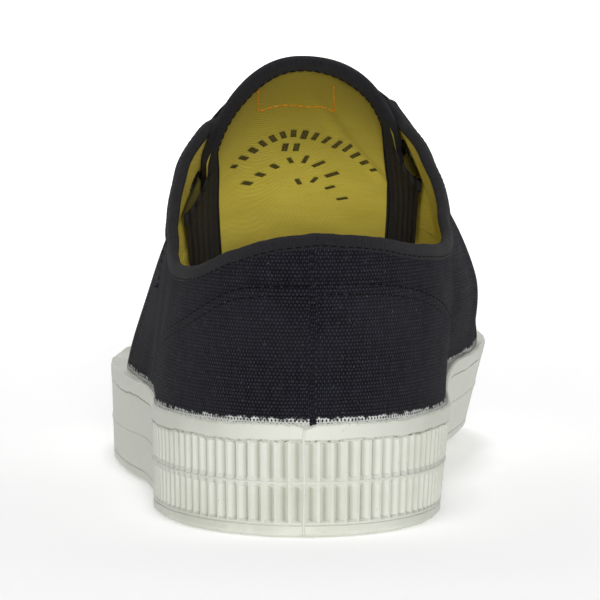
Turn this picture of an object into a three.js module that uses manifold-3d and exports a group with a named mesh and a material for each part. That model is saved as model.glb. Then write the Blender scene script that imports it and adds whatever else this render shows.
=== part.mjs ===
// Low canvas sneaker, left shoe, empty, standing on its sole.
//
// Millimetres, +Z up, toe towards -Y, heel towards +Y, lateral (outer) side towards +X.
// The origin is on the floor under the middle of the shoe's box.
//
// A place along the shoe is its distance from the back of the heel.  The upper, tongue, insole,
// heel counter, lace and the hollow of the sole all come from one function, the surface of the last.

import * as THREE from 'three';
import { mergeVertices } from 'three/addons/utils/BufferGeometryUtils.js';
import Module from 'manifold-3d';

const wasm = await Module();
wasm.setup();

// ---------------------------------------------------------------- driving dimensions

const SHOE_LENGTH = 296;          // outside of the sole, heel to toe
const WALL = 2.0;                 // canvas and lining together
const GAP = 0.3;                  // between pieces that meet
const HEEL_CAP = 65;              // the outline rounds off behind this distance
const TOE_CAP = 212;              // and in front of this one
const HEEL_POWER = 2.0;           // superellipse power of the heel's outline
const TOE_POWER = 2.4;            // and of the toe's outline
const LASTING_MARGIN = 10;        // canvas turned in under the insole
const INSOLE_THICKNESS = 3;
const TONGUE_THICKNESS = 2.2;
const TONGUE_DROP = 1.4;          // below the inside of the upper, clear of the eyelets' backs
const COUNTER_THICKNESS = 1.0;
const COUNTER_FOOT = 32;          // the counter panel starts above the sole's rim
const FLAT_MARGIN = 2.5;          // rounded edge between side wall and tread ...
const FLAT_MARGIN_PER_RISE = 1.6; // ... wider where the wall's foot stands higher
const TREAD_START = 3;            // the flat tread, from the heel ...
const TREAD_END = 226;            // ... to where the toe spring starts
const TREAD_TOE_CAP = 170;        // the tread's outline rounds off in front of this distance
const TREAD_TOE_POWER = 2.6;
const ARCH_RISE = 1.6;            // hollow of the tread under the waist
const ARCH_FROM = 92;
const ARCH_TO = 158;
const RIM_BAND = 5.5;             // smooth band along the top of the side wall
const RIM_INSET = 9;              // the sole block's top, before the hollow is cut
const EYELET_ROWS = [122, 134, 146, 158, 170, 182];
const EYELET_SET_BACK = 9;        // from the edge of the throat
const EYELET_BORE = 2.2;
const EYELET_BARREL = 2.9;
const EYELET_FLANGE = 4.4;
const EYELET_FLANGE_THICKNESS = 0.8;
const EYELET_LIFT = 0.55;         // flat flange over a curved wall
const EYELET_HOLE = 3.3;
const EYELET_BACK = 0.4;          // the barrel's length inside the lining
const EYELET_EDGE = 0.7;          // slope round the flange
const LACE_WIDTH = 7;
const LACE_THICKNESS = 1.4;
const LACE_LIFT = 3.0;            // clear of the eyelets

const LOOP_STEPS = 26;            // quads along each side of a loop
const WALL_STEPS = 12;            // quads from feather edge to ridge
const LACE_STEPS = 6;
const EYELET_SEGMENTS = 14;
const LOWEST_TOP = 0.45;          // height part under which the last's surface isn't "top"

// Half widths are measured from the centre line.  "bulge" is how far the wall swells out above the
// feather edge, "ridge" the top line of the last and "full" the power of its cross-section.
const LAST = {
  columns: ['at', 'centre', 'lateral', 'medial', 'lateralBulge', 'medialBulge',
    'ridgeX', 'ridgeZ', 'featherZ', 'lateralFull', 'medialFull'],
  rows: [
    [0, -1.0, 36.0, 36.4, -0.4, 0.4, -2.5, 112, 18.0, 5.0, 5.0],
    [45, -0.3, 35.7, 36.0, -3.0, 1.8, -2.5, 114, 18.0, 4.6, 5.0],
    [80, 0.0, 36.4, 35.5, -2.0, 3.0, -1.5, 118, 17.0, 3.4, 3.8],
    [110, 0.0, 39.0, 35.0, 0.0, 6.0, -1.0, 119, 15.0, 2.2, 2.4],
    [140, -0.5, 44.0, 38.0, -0.6, 9.5, -2.0, 97, 12.5, 2.4, 2.7],
    [170, -1.0, 49.0, 44.0, -2.2, 7.0, -2.5, 80, 10.5, 2.6, 3.2],
    [200, -1.5, 50.5, 48.5, -2.0, 2.5, -3.0, 66, 10.0, 2.5, 3.2],
    [230, -3.0, 49.5, 48.5, -0.8, 0.5, -4.0, 58, 10.5, 2.8, 2.9],
    [260, -5.0, 47.0, 47.0, 0.0, 0.0, -5.5, 52, 12.5, 3.1, 3.1],
    [292, -8.0, 45.0, 45.0, 0.0, 0.0, -8.0, 49, 15.5, 3.1, 3.1],
  ],
};
const BULGE_START = 15;           // height above the feather edge where the swell begins
const BULGE_RISE = 32;

// Outside of the sole.  "tuck" is how far the foot of the side wall lies inside its rim.
const SOLE = {
  columns: ['at', 'centre', 'lateral', 'medial', 'lateralTuck', 'medialTuck',
    'lateralRim', 'medialRim', 'lateralMid', 'medialMid', 'lateralFoot', 'medialFoot'],
  rows: [
    [0, -1.0, 39.0, 39.5, 0.7, 1.0, 29.2, 29.2, 14.0, 14.0, 0.8, 0.8],
    [60, -0.2, 39.6, 39.8, 0.7, 3.0, 28.8, 29.2, 14.0, 14.0, 0.8, 0.8],
    [90, 0.0, 40.2, 40.2, 0.7, 4.0, 28.4, 30.0, 13.5, 15.0, 0.8, 2.4],
    [118, 0.0, 43.5, 41.5, 0.8, 5.5, 28.2, 31.0, 13.0, 16.5, 0.8, 5.0],
    [145, -0.5, 50.0, 43.5, 0.8, 6.5, 28.0, 31.8, 12.4, 18.0, 0.8, 6.5],
    [170, -1.0, 54.2, 48.5, 0.8, 6.5, 28.0, 32.4, 12.0, 19.0, 0.8, 7.0],
    [200, -1.5, 56.6, 52.5, 0.9, 6.5, 28.2, 32.6, 12.0, 19.4, 0.8, 7.0],
    [230, -3.0, 55.6, 52.5, 1.2, 6.0, 28.8, 32.6, 13.0, 19.0, 1.6, 6.5],
    [260, -5.0, 53.0, 51.0, 2.0, 5.0, 30.0, 32.8, 15.5, 18.8, 4.0, 6.5],
    [296, -8.0, 50.0, 50.0, 3.0, 3.0, 33.0, 33.0, 18.5, 18.5, 8.0, 8.0],
  ],
};

// Height of the collar's edge, dipping under the ankle and rising to the ears beside the tongue.
const COLLAR = {
  columns: ['at', 'lateral', 'medial'],
  rows: [
    [-10, 76.3, 76.3], [4, 76.0, 76.0], [12, 71.5, 74.5], [25, 66.3, 71.8], [45, 65.0, 70.6],
    [62, 68.0, 72.5], [80, 76.0, 79.5], [95, 86.5, 88.5], [104, 94.5, 95.0], [110, 99.0, 99.0],
    [116, 101.5, 101.0],
  ],
};

// Top line of the stitched counter panel.
const COUNTER = {
  columns: ['at', 'lateral', 'medial'],
  rows: [
    [-10, 65.0, 65.0], [8, 64.0, 65.0], [20, 58.5, 63.0], [32, 54.0, 60.0], [50, 49.5, 54.0],
    [68, 44.0, 46.0], [80, 38.0, 38.5], [88, 30.0, 30.0],
  ],
};

// Half width of the throat, the gap between the two eyelet edges.
const THROAT = {
  columns: ['at', 'lateral', 'medial'],
  rows: [[100, 27.5, 28.0], [110, 25.5, 25.5], [135, 18.5, 19.5], [160, 11.5, 12.5], [184, 7.0, 8.0]],
};
const THROAT_END = 190;
const THROAT_CUT_FROM = 45;       // the cutter's heights: above the insole ...
const ABOVE_SHOE = 200;           // ... and clear of everything
const REACH = 80;                 // sideways, past the widest part
const SIDES_MEET_X = -2;
const TONGUE_CUT_FROM = 40;

// Half width of the tongue.
const TONGUE = {
  columns: ['at', 'lateral', 'medial'],
  rows: [[108, 25.5, 25.0], [130, 26.0, 27.0], [160, 27.0, 29.0], [205, 27.0, 29.0]],
};
const TONGUE_CORNER = 9;

const CANVAS = new THREE.MeshStandardMaterial({ color: 0x26252a, roughness: 0.95, metalness: 0 });
const TWILL = new THREE.MeshStandardMaterial({ color: 0xa9983a, roughness: 0.95, metalness: 0 });
const RUBBER = new THREE.MeshStandardMaterial({ color: 0xd4d6cc, roughness: 0.6, metalness: 0 });
const LACE = new THREE.MeshStandardMaterial({ color: 0x1d1c20, roughness: 0.9, metalness: 0 });
const EYELET = new THREE.MeshStandardMaterial({ color: 0x101012, roughness: 0.4, metalness: 0.6 });

// ---------------------------------------------------------------- small mathematics

function clamp01(value) {
  return Math.min(1, Math.max(0, value));
}

function smoothStep(value) {
  const t = clamp01(value);
  return t * t * (3 - 2 * t);
}

// Value of one column of a table, on a smooth curve through its rows.
function tableValue(table, column, at) {
  const { rows } = table;
  const k = table.columns.indexOf(column);
  const lastRow = rows.length - 1;
  if (at <= rows[0][0]) return rows[0][k];
  if (at >= rows[lastRow][0]) return rows[lastRow][k];
  let i = 0;
  while (rows[i + 1][0] < at) i += 1;
  const slopeAt = (row) => {
    const before = rows[Math.max(row - 1, 0)];
    const after = rows[Math.min(row + 1, lastRow)];
    return (after[k] - before[k]) / (after[0] - before[0]);
  };
  const width = rows[i + 1][0] - rows[i][0];
  const t = (at - rows[i][0]) / width;
  const t2 = t * t;
  const t3 = t2 * t;
  return (2 * t3 - 3 * t2 + 1) * rows[i][k] + (t3 - 2 * t2 + t) * slopeAt(i) * width
    + (3 * t2 - 2 * t3) * rows[i + 1][k] + (t3 - t2) * slopeAt(i + 1) * width;
}

function sideName(side) {
  return side > 0 ? 'lateral' : 'medial';
}

function superellipse(part, power) {
  return Math.max(0, 1 - clamp01(part) ** power) ** (1 / power);
}

// How much of the full half width is left where the outline rounds off at its two ends.
function outlineCap(at, start, end) {
  if (at < HEEL_CAP) return superellipse((HEEL_CAP - at) / (HEEL_CAP - start), HEEL_POWER);
  if (at > TOE_CAP) return superellipse((at - TOE_CAP) / (end - TOE_CAP), TOE_POWER);
  return 1;
}

// How far the side wall lies inside its rim at a height: the full tuck at its foot, none at the rim.
function soleTuck(at, side, z) {
  const name = sideName(side);
  const foot = tableValue(SOLE, `${name}Foot`, at);
  const rim = tableValue(SOLE, `${name}Rim`, at);
  return tableValue(SOLE, `${name}Tuck`, at) * clamp01((rim - z) / (rim - foot));
}

// ---------------------------------------------------------------- the last

// Profile of the heel's back and of the toe's front, over the part of the height.
function heelEnd(part) {
  return 4 + 36 * Math.max(0, part - 0.25) ** 2 + 16 * Math.max(0, 0.25 - part) ** 2;
}

function toeEnd(part) {
  return 262 + 28.8 * superellipse(part, 2.9);
}

// Surface of the last, grown outwards by "grow".  "along" runs 0 to 1 from heel to toe, "up" 0 to 1
// from the feather edge to the ridge, and side is 1 lateral or -1 medial.
function lastPoint(along, up, side, grow) {
  const start = heelEnd(up) - grow;
  const end = toeEnd(up) + grow;
  const at = start + (end - start) * along;
  return lastPointAt(at, up, side, grow);
}

function lastPointAt(at, up, side, grow) {
  const name = sideName(side);
  const feather = tableValue(LAST, 'featherZ', at) - grow;
  const ridge = tableValue(LAST, 'ridgeZ', at) + grow;
  const z = feather + (ridge - feather) * up;
  const swell = smoothStep((z - feather - BULGE_START) / BULGE_RISE);
  const full = tableValue(LAST, name, at) + tableValue(LAST, `${name}Bulge`, at) * swell;
  const half = full + grow - soleTuck(at, side, z);
  const rounding = superellipse(up, tableValue(LAST, `${name}Full`, at));
  const cap = outlineCap(at, heelEnd(up) - grow, toeEnd(up) + grow);
  const centre = tableValue(LAST, 'centre', at);
  const ridgeX = tableValue(LAST, 'ridgeX', at);
  const x = centre + (ridgeX - centre) * (1 - rounding) + side * half * cap * rounding;
  return new THREE.Vector3(x, SHOE_LENGTH / 2 - at, z);
}

// The point of the last's top surface over (x, at): the part of the height is found by halving.
function topPoint(x, at, grow) {
  const side = x >= tableValue(LAST, 'ridgeX', at) ? 1 : -1;
  let low = LOWEST_TOP;
  let high = 1;
  for (let i = 0; i < 30; i += 1) {
    const middle = (low + high) / 2;
    const reach = lastPointAt(at, middle, side, grow).x;
    if ((reach - x) * side > 0) low = middle;
    else high = middle;
  }
  const point = lastPointAt(at, low, side, grow);
  point.x = x;
  return point;
}

function topNormal(x, at) {
  const step = 1;
  const across = topPoint(x + step, at, WALL).sub(topPoint(x - step, at, WALL));
  const back = topPoint(x, at - step, WALL).sub(topPoint(x, at + step, WALL));
  return across.cross(back).normalize();
}

// ---------------------------------------------------------------- solids from rings and shapes

// Places along a loop, closer together at the two ends.
function loopPlaces() {
  const places = [];
  for (let i = 0; i < 2 * LOOP_STEPS; i += 1) {
    const turn = (Math.PI * i) / LOOP_STEPS;
    places.push({ along: (1 - Math.cos(turn)) / 2, side: i <= LOOP_STEPS ? 1 : -1 });
  }
  return places;
}

function loop(pointAt) {
  return loopPlaces().map(({ along, side }) => pointAt(along, side));
}

function solidFromGeometry(geometry) {
  const bare = geometry.index ? geometry.toNonIndexed() : geometry.clone();
  bare.deleteAttribute('normal');
  bare.deleteAttribute('uv');
  const merged = mergeVertices(bare, 1e-4);
  const index = merged.index.array;
  const triangles = [];
  for (let i = 0; i < index.length; i += 3) {
    const [a, b, c] = [index[i], index[i + 1], index[i + 2]];
    if (a !== b && b !== c && c !== a) triangles.push(a, b, c);
  }
  return new wasm.Manifold(new wasm.Mesh({
    numProp: 3,
    vertProperties: new Float32Array(merged.attributes.position.array),
    triVerts: new Uint32Array(triangles),
  }));
}

// Skin over a stack of closed rings of equal length.  The first and last ring are folded flat, so
// that the skin is closed.
function solidFromRings(rings) {
  const positions = [];
  const count = rings[0].length;
  const addTriangle = (a, b, c) => {
    [a, b, c].forEach((point) => positions.push(point.x, point.y, point.z));
  };
  for (let r = 0; r + 1 < rings.length; r += 1) {
    for (let i = 0; i < count; i += 1) {
      const j = (i + 1) % count;
      addTriangle(rings[r][i], rings[r + 1][i], rings[r + 1][j]);
      addTriangle(rings[r][i], rings[r + 1][j], rings[r][j]);
    }
  }
  const geometry = new THREE.BufferGeometry();
  geometry.setAttribute('position', new THREE.Float32BufferAttribute(positions, 3));
  return solidFromGeometry(geometry);
}

// A shape drawn in the side view (Y, Z), extruded across the shoe.
function sidePrism(shape, fromX, toX) {
  const geometry = new THREE.ExtrudeGeometry(shape, {
    depth: toX - fromX, bevelEnabled: false, curveSegments: 3,
  });
  const yAxis = new THREE.Vector3(0, 1, 0);
  const zAxis = new THREE.Vector3(0, 0, 1);
  const xAxis = new THREE.Vector3(1, 0, 0);
  geometry.applyMatrix4(new THREE.Matrix4().makeBasis(yAxis, zAxis, xAxis));
  geometry.translate(fromX, 0, 0);
  return solidFromGeometry(geometry);
}

// A shape drawn in the top view (X, Y), extruded upwards.
function planPrism(shape, fromZ, toZ) {
  const geometry = new THREE.ExtrudeGeometry(shape, {
    depth: toZ - fromZ, bevelEnabled: false, curveSegments: 4,
  });
  geometry.translate(0, 0, fromZ);
  return solidFromGeometry(geometry);
}

function meshFromSolid(name, solid, material) {
  const { vertProperties, triVerts } = solid.getMesh();
  const geometry = new THREE.BufferGeometry();
  geometry.setAttribute('position', new THREE.BufferAttribute(new Float32Array(vertProperties), 3));
  geometry.setIndex(new THREE.BufferAttribute(new Uint32Array(triVerts), 1));
  geometry.computeVertexNormals();
  const mesh = new THREE.Mesh(geometry, material.clone());
  mesh.name = name;
  return mesh;
}

// ---------------------------------------------------------------- bodies and cutters

// The whole last, grown by "grow", closed underneath along its centre line.
function lastBody(grow) {
  const rings = [loop((along) => {
    const point = lastPoint(along, 0, 1, grow);
    point.x = tableValue(LAST, 'centre', SHOE_LENGTH / 2 - point.y);
    return point;
  })];
  for (let step = 0; step <= WALL_STEPS; step += 1) {
    const turn = (Math.PI / 2) * (step / WALL_STEPS);
    const up = Math.sin(turn) ** (2 / 3);
    rings.push(loop((along, side) => lastPoint(along, up, side, grow)));
  }
  return solidFromRings(rings);
}

// A slab that follows the last's underside, inset from the feather edge, between two heights that
// are given as functions of the feather edge's height.
function underfootSlab(inset, bottomOf, topOf) {
  const ring = (heightOf, onCentre) => loop((along, side) => {
    const point = lastPoint(along, 0, side, -inset);
    const at = SHOE_LENGTH / 2 - point.y;
    if (onCentre) point.x = tableValue(LAST, 'centre', at);
    point.z = heightOf(tableValue(LAST, 'featherZ', at));
    return point;
  });
  return solidFromRings([ring(bottomOf, true), ring(bottomOf, false), ring(topOf, false),
    ring(topOf, true)]);
}

function rectangle(x0, y0, x1, y1) {
  const shape = new THREE.Shape();
  shape.moveTo(x0, y0);
  shape.lineTo(x1, y0);
  shape.lineTo(x1, y1);
  shape.lineTo(x0, y1);
  shape.closePath();
  return shape;
}

// Everything between a table's line of heights and a level far above or below it, on one side.
function pastLine(table, side, level) {
  const k = table.columns.indexOf(sideName(side));
  const points = table.rows.map((row) => new THREE.Vector2(SHOE_LENGTH / 2 - row[0], row[k]));
  const shape = new THREE.Shape();
  shape.moveTo(points[0].x, points[0].y);
  shape.splineThru(points.slice(1));
  shape.lineTo(points[points.length - 1].x, level);
  shape.lineTo(points[0].x, level);
  return side > 0 ? sidePrism(shape, SIDES_MEET_X, REACH) : sidePrism(shape, -REACH, SIDES_MEET_X);
}

function throatHalf(at, side) {
  return tableValue(THROAT, sideName(side), at);
}

function throatCutter() {
  const at = (row) => SHOE_LENGTH / 2 - row[0];
  const lateral = THROAT.rows.map((row) => new THREE.Vector2(row[1], at(row)));
  const medial = THROAT.rows.map((row) => new THREE.Vector2(-row[2], at(row))).reverse();
  const shape = new THREE.Shape();
  shape.moveTo(lateral[0].x, lateral[0].y);
  shape.splineThru(lateral.slice(1));
  const endY = SHOE_LENGTH / 2 - THROAT_END;
  const corner = lateral[lateral.length - 1];
  shape.bezierCurveTo(corner.x, endY - 2, medial[0].x, endY - 2, medial[0].x, medial[0].y);
  shape.splineThru(medial.slice(1));
  return planPrism(shape, THROAT_CUT_FROM, ABOVE_SHOE);
}

function tonguePlan() {
  const rows = TONGUE.rows;
  const yAt = (row) => SHOE_LENGTH / 2 - row[0];
  const top = rows[0];
  const shape = new THREE.Shape();
  shape.moveTo(top[1] - TONGUE_CORNER, yAt(top));
  shape.quadraticCurveTo(top[1], yAt(top), top[1], yAt(top) - TONGUE_CORNER);
  shape.splineThru(rows.slice(1).map((row) => new THREE.Vector2(row[1], yAt(row))));
  const foot = rows[rows.length - 1];
  shape.lineTo(-foot[2], yAt(foot));
  const backUp = rows.slice(1, -1).reverse();
  const medialTop = new THREE.Vector2(-top[2], yAt(top) - TONGUE_CORNER);
  shape.splineThru([...backUp.map((row) => new THREE.Vector2(-row[2], yAt(row))), medialTop]);
  shape.quadraticCurveTo(-top[2], yAt(top), -top[2] + TONGUE_CORNER, yAt(top));
  return shape;
}

// ---------------------------------------------------------------- the pieces

// Height of the tread: flat under heel and forefoot, with a shallow hollow under the waist.
function treadZ(at) {
  const ramp = 20;
  return ARCH_RISE * smoothStep((at - ARCH_FROM) / ramp) * smoothStep((ARCH_TO - at) / ramp);
}

function soleOutline(at, side, z, inset) {
  const half = tableValue(SOLE, sideName(side), at) - soleTuck(at, side, z) - inset;
  const cap = outlineCap(at, inset, SHOE_LENGTH - inset);
  return tableValue(SOLE, 'centre', at) + side * half * cap;
}

function soleBlock() {
  const wallRing = (inset, heightAt) => loop((along, side) => {
    const at = inset + (SHOE_LENGTH - 2 * inset) * along;
    const z = heightAt(at, sideName(side));
    return new THREE.Vector3(soleOutline(at, side, z, inset), SHOE_LENGTH / 2 - at, z);
  });
  const treadRing = (onCentre) => loop((along, side) => {
    const at = TREAD_START + (TREAD_END - TREAD_START) * along;
    const name = sideName(side);
    const rise = tableValue(SOLE, `${name}Foot`, at);
    const inset = FLAT_MARGIN + FLAT_MARGIN_PER_RISE * rise;
    const half = tableValue(SOLE, name, at) - tableValue(SOLE, `${name}Tuck`, at) - inset;
    const heel = superellipse((HEEL_CAP - Math.min(at, HEEL_CAP)) / (HEEL_CAP - TREAD_START), HEEL_POWER);
    const pastCap = Math.max(at, TREAD_TOE_CAP) - TREAD_TOE_CAP;
    const toe = superellipse(pastCap / (TREAD_END - TREAD_TOE_CAP), TREAD_TOE_POWER);
    const centre = tableValue(SOLE, 'centre', at);
    const x = onCentre ? centre : centre + side * half * heel * toe;
    return new THREE.Vector3(x, SHOE_LENGTH / 2 - at, treadZ(at));
  });
  const rimZ = (at, name) => tableValue(SOLE, `${name}Rim`, at);
  const topRing = (onCentre) => {
    const ring = wallRing(RIM_INSET, rimZ);
    if (!onCentre) return ring;
    return ring.map((point) => {
      const at = SHOE_LENGTH / 2 - point.y;
      const height = (rimZ(at, 'lateral') + rimZ(at, 'medial')) / 2;
      return new THREE.Vector3(tableValue(SOLE, 'centre', at), point.y, height);
    });
  };
  return solidFromRings([
    treadRing(true),
    treadRing(false),
    wallRing(0, (at, name) => tableValue(SOLE, `${name}Foot`, at)),
    wallRing(0, (at, name) => tableValue(SOLE, `${name}Mid`, at)),
    wallRing(0, (at, name) => rimZ(at, name) - RIM_BAND),
    wallRing(0, rimZ),
    topRing(false),
    topRing(true),
  ]);
}

function makeSole() {
  const filler = underfootSlab(LASTING_MARGIN + GAP, () => -5, (feather) => feather);
  const hollow = lastBody(WALL + GAP).subtract(filler);
  return meshFromSolid('sole', soleBlock().subtract(hollow), RUBBER);
}

function eyeletPlaces() {
  const places = [];
  [1, -1].forEach((side) => {
    EYELET_ROWS.forEach((at, row) => {
      const x = side * (throatHalf(at, side) + EYELET_SET_BACK);
      places.push({ name: `eyelet_${sideName(side)}_${row + 1}`, x, at });
    });
  });
  return places;
}

// Where a round part of the eyelets stands on the upper, and which way it is turned.
function standOn(x, at, lift) {
  const normal = topNormal(x, at);
  const turn = new THREE.Quaternion().setFromUnitVectors(new THREE.Vector3(0, 1, 0), normal);
  const place = topPoint(x, at, WALL).addScaledVector(normal, lift);
  return { turn, place };
}

function makeUpper() {
  const underside = underfootSlab(LASTING_MARGIN, () => -5, (feather) => feather + 3);
  let shell = lastBody(WALL).subtract(lastBody(0)).subtract(underside);
  shell = shell.subtract(pastLine(COLLAR, 1, ABOVE_SHOE)).subtract(pastLine(COLLAR, -1, ABOVE_SHOE));
  shell = shell.subtract(throatCutter());
  const hole = new THREE.CylinderGeometry(EYELET_HOLE, EYELET_HOLE, 12, 12);
  eyeletPlaces().forEach(({ x, at }) => {
    const { turn, place } = standOn(x, at, 0);
    const punch = hole.clone().applyQuaternion(turn);
    punch.translate(place.x, place.y, place.z);
    shell = shell.subtract(solidFromGeometry(punch));
  });
  return meshFromSolid('upper', shell, CANVAS);
}

function makeCounter() {
  const layer = lastBody(WALL + GAP + COUNTER_THICKNESS).subtract(lastBody(WALL + GAP));
  const panel = pastLine(COUNTER, 1, 0).add(pastLine(COUNTER, -1, 0));
  const heights = rectangle(-SHOE_LENGTH, COUNTER_FOOT, SHOE_LENGTH, ABOVE_SHOE);
  const above = sidePrism(heights, -REACH, REACH);
  return meshFromSolid('heel_counter', layer.intersect(panel).intersect(above), CANVAS);
}

function makeTongue() {
  const layer = lastBody(-TONGUE_DROP).subtract(lastBody(-TONGUE_DROP - TONGUE_THICKNESS));
  return meshFromSolid('tongue', layer.intersect(planPrism(tonguePlan(), TONGUE_CUT_FROM, ABOVE_SHOE)), TWILL);
}

function makeInsole() {
  const slab = underfootSlab(0.6, (feather) => feather + GAP,
    (feather) => feather + GAP + INSOLE_THICKNESS);
  return meshFromSolid('insole', slab, TWILL);
}

// A flat strip of lace over the tongue, from the eyelet at one end to the eyelet at the other.
function laceStrip(from, to) {
  const steps = LACE_STEPS;
  const centre = [];
  for (let i = 0; i <= steps; i += 1) {
    const t = i / steps;
    const x = from.x + (to.x - from.x) * t;
    const at = from.at + (to.at - from.at) * t;
    const middle = topPoint(x, at, WALL).addScaledVector(topNormal(x, at), LACE_LIFT);
    centre.push({ middle, up: topNormal(x, at) });
  }
  const rings = centre.map(({ middle, up }, i) => {
    const ahead = centre[Math.min(i + 1, steps)].middle;
    const behind = centre[Math.max(i - 1, 0)].middle;
    const run = ahead.clone().sub(behind).normalize();
    const across = run.clone().cross(up).normalize();
    const corners = [[-1, 0], [-0.75, -1], [0.75, -1], [1, 0], [0.75, 1], [-0.75, 1]];
    return corners.map(([a, b]) => middle.clone()
      .addScaledVector(across, (a * LACE_WIDTH) / 2)
      .addScaledVector(up, (b * LACE_THICKNESS) / 2));
  });
  const folded = (ring, middle) => ring.map(() => middle.clone());
  const strip = [folded(rings[0], centre[0].middle), ...rings,
    folded(rings[steps], centre[steps].middle)];
  return solidFromRings(strip);
}

function makeLaces() {
  const places = eyeletPlaces();
  const rowCount = EYELET_ROWS.length;
  const lateral = places.slice(0, rowCount);
  const medial = places.slice(rowCount);
  let lace = laceStrip(lateral[rowCount - 1], medial[rowCount - 1]);
  for (let row = 0; row + 1 < rowCount; row += 1) {
    lace = lace.add(laceStrip(lateral[row], medial[row + 1]));
    lace = lace.add(laceStrip(medial[row], lateral[row + 1]));
  }
  return meshFromSolid('laces', lace, LACE);
}

function makeEyelets() {
  const under = -WALL - EYELET_LIFT - EYELET_BACK;
  const flange = EYELET_FLANGE_THICKNESS;
  const profile = [
    [EYELET_BORE, under], [EYELET_BARREL, under], [EYELET_BARREL, 0], [EYELET_FLANGE, 0],
    [EYELET_FLANGE - EYELET_EDGE, flange], [EYELET_BORE, flange], [EYELET_BORE, under],
  ].map(([radius, height]) => new THREE.Vector2(radius, height));
  return eyeletPlaces().map(({ name, x, at }) => {
    const ring = new THREE.LatheGeometry(profile, EYELET_SEGMENTS);
    const { turn, place } = standOn(x, at, EYELET_LIFT);
    const mesh = meshFromSolid(name, solidFromGeometry(ring), EYELET);
    mesh.quaternion.copy(turn);
    mesh.position.copy(place);
    return mesh;
  });
}

const sneaker = new THREE.Group();
sneaker.add(makeSole(), makeUpper(), makeCounter(), makeTongue(), makeInsole(), makeLaces());
sneaker.add(...makeEyelets());

export default sneaker;
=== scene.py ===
"""Canvas sneaker, left shoe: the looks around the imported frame.

Sizes are in millimetres in the frame's own axes (+Z up, heel +Y, toe -Y, lateral +X) and turn into
metres where a mesh is made.  A place along the shoe is its distance from the back of the heel.
"""

import math

import bmesh
import bpy
import numpy as np
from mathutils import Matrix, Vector


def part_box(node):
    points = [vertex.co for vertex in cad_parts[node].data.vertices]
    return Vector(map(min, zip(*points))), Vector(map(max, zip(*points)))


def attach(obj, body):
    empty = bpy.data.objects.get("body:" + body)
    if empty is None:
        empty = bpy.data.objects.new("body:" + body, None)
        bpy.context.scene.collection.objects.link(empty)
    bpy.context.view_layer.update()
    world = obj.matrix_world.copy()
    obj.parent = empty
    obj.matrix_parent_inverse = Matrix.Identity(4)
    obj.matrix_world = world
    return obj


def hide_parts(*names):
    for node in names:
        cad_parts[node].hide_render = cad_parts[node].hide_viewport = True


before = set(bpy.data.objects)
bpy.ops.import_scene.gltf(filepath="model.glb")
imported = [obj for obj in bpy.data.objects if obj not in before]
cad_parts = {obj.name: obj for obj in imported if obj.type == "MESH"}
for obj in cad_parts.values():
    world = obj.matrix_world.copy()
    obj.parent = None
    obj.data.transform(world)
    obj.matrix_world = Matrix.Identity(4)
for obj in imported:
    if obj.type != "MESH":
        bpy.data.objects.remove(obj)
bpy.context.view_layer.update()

MM = 0.001

# ---------------------------------------------------------------- driving sizes

SOLE_LOW, SOLE_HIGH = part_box("sole")
SHOE_LENGTH = (SOLE_HIGH.y - SOLE_LOW.y) / MM
HEEL_Y = SOLE_HIGH.y / MM
WALL = 2.0                      # canvas and lining together
CANVAS_THICKNESS = 0.9
LINING_THICKNESS = 0.8
HEEL_CAP = 65.0
TOE_CAP = 212.0
HEEL_POWER = 2.0
TOE_POWER = 2.4
HEEL_FULLEST = 0.25             # height part at which the back of the last is fullest
HEEL_SET_IN = 4.0
HEEL_LEAN_ABOVE = 36.0
HEEL_LEAN_BELOW = 16.0
TOE_RIDGE_END = 262.0           # where the ridge comes down to the toe's round front
TOE_REACH = 28.8
TOE_PROFILE_POWER = 2.9
BULGE_START = 15.0
BULGE_RISE = 32.0
THROAT_START = 98.0
THROAT_END = 190.0
THROAT_ROUND = 13.0             # length of the throat's round end
COLLAR_END = 116.0
NO_COLLAR = 1e3                 # a height that nothing reaches
TONGUE_DROP = 1.4
RIM_DROP = 0.4                  # the rubber's ragged top lies this far under the plain rim
TONGUE_THICKNESS = 2.2
EYELET_ROWS = (122, 134, 146, 158, 170, 182)
EYELET_SET_BACK = 9.0

LAST = {
    "columns": ("at", "centre", "lateral", "medial", "lateral_bulge", "medial_bulge",
                "ridge_x", "ridge_z", "feather_z", "lateral_full", "medial_full"),
    "rows": np.array([
        (0, -1.0, 36.0, 36.4, -0.4, 0.4, -2.5, 112, 18.0, 5.0, 5.0),
        (45, -0.3, 35.7, 36.0, -3.0, 1.8, -2.5, 114, 18.0, 4.6, 5.0),
        (80, 0.0, 36.4, 35.5, -2.0, 3.0, -1.5, 118, 17.0, 3.4, 3.8),
        (110, 0.0, 39.0, 35.0, 0.0, 6.0, -1.0, 119, 15.0, 2.2, 2.4),
        (140, -0.5, 44.0, 38.0, -0.6, 9.5, -2.0, 97, 12.5, 2.4, 2.7),
        (170, -1.0, 49.0, 44.0, -2.2, 7.0, -2.5, 80, 10.5, 2.6, 3.2),
        (200, -1.5, 50.5, 48.5, -2.0, 2.5, -3.0, 66, 10.0, 2.5, 3.2),
        (230, -3.0, 49.5, 48.5, -0.8, 0.5, -4.0, 58, 10.5, 2.8, 2.9),
        (260, -5.0, 47.0, 47.0, 0.0, 0.0, -5.5, 52, 12.5, 3.1, 3.1),
        (292, -8.0, 45.0, 45.0, 0.0, 0.0, -8.0, 49, 15.5, 3.1, 3.1),
    ]),
}
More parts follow.
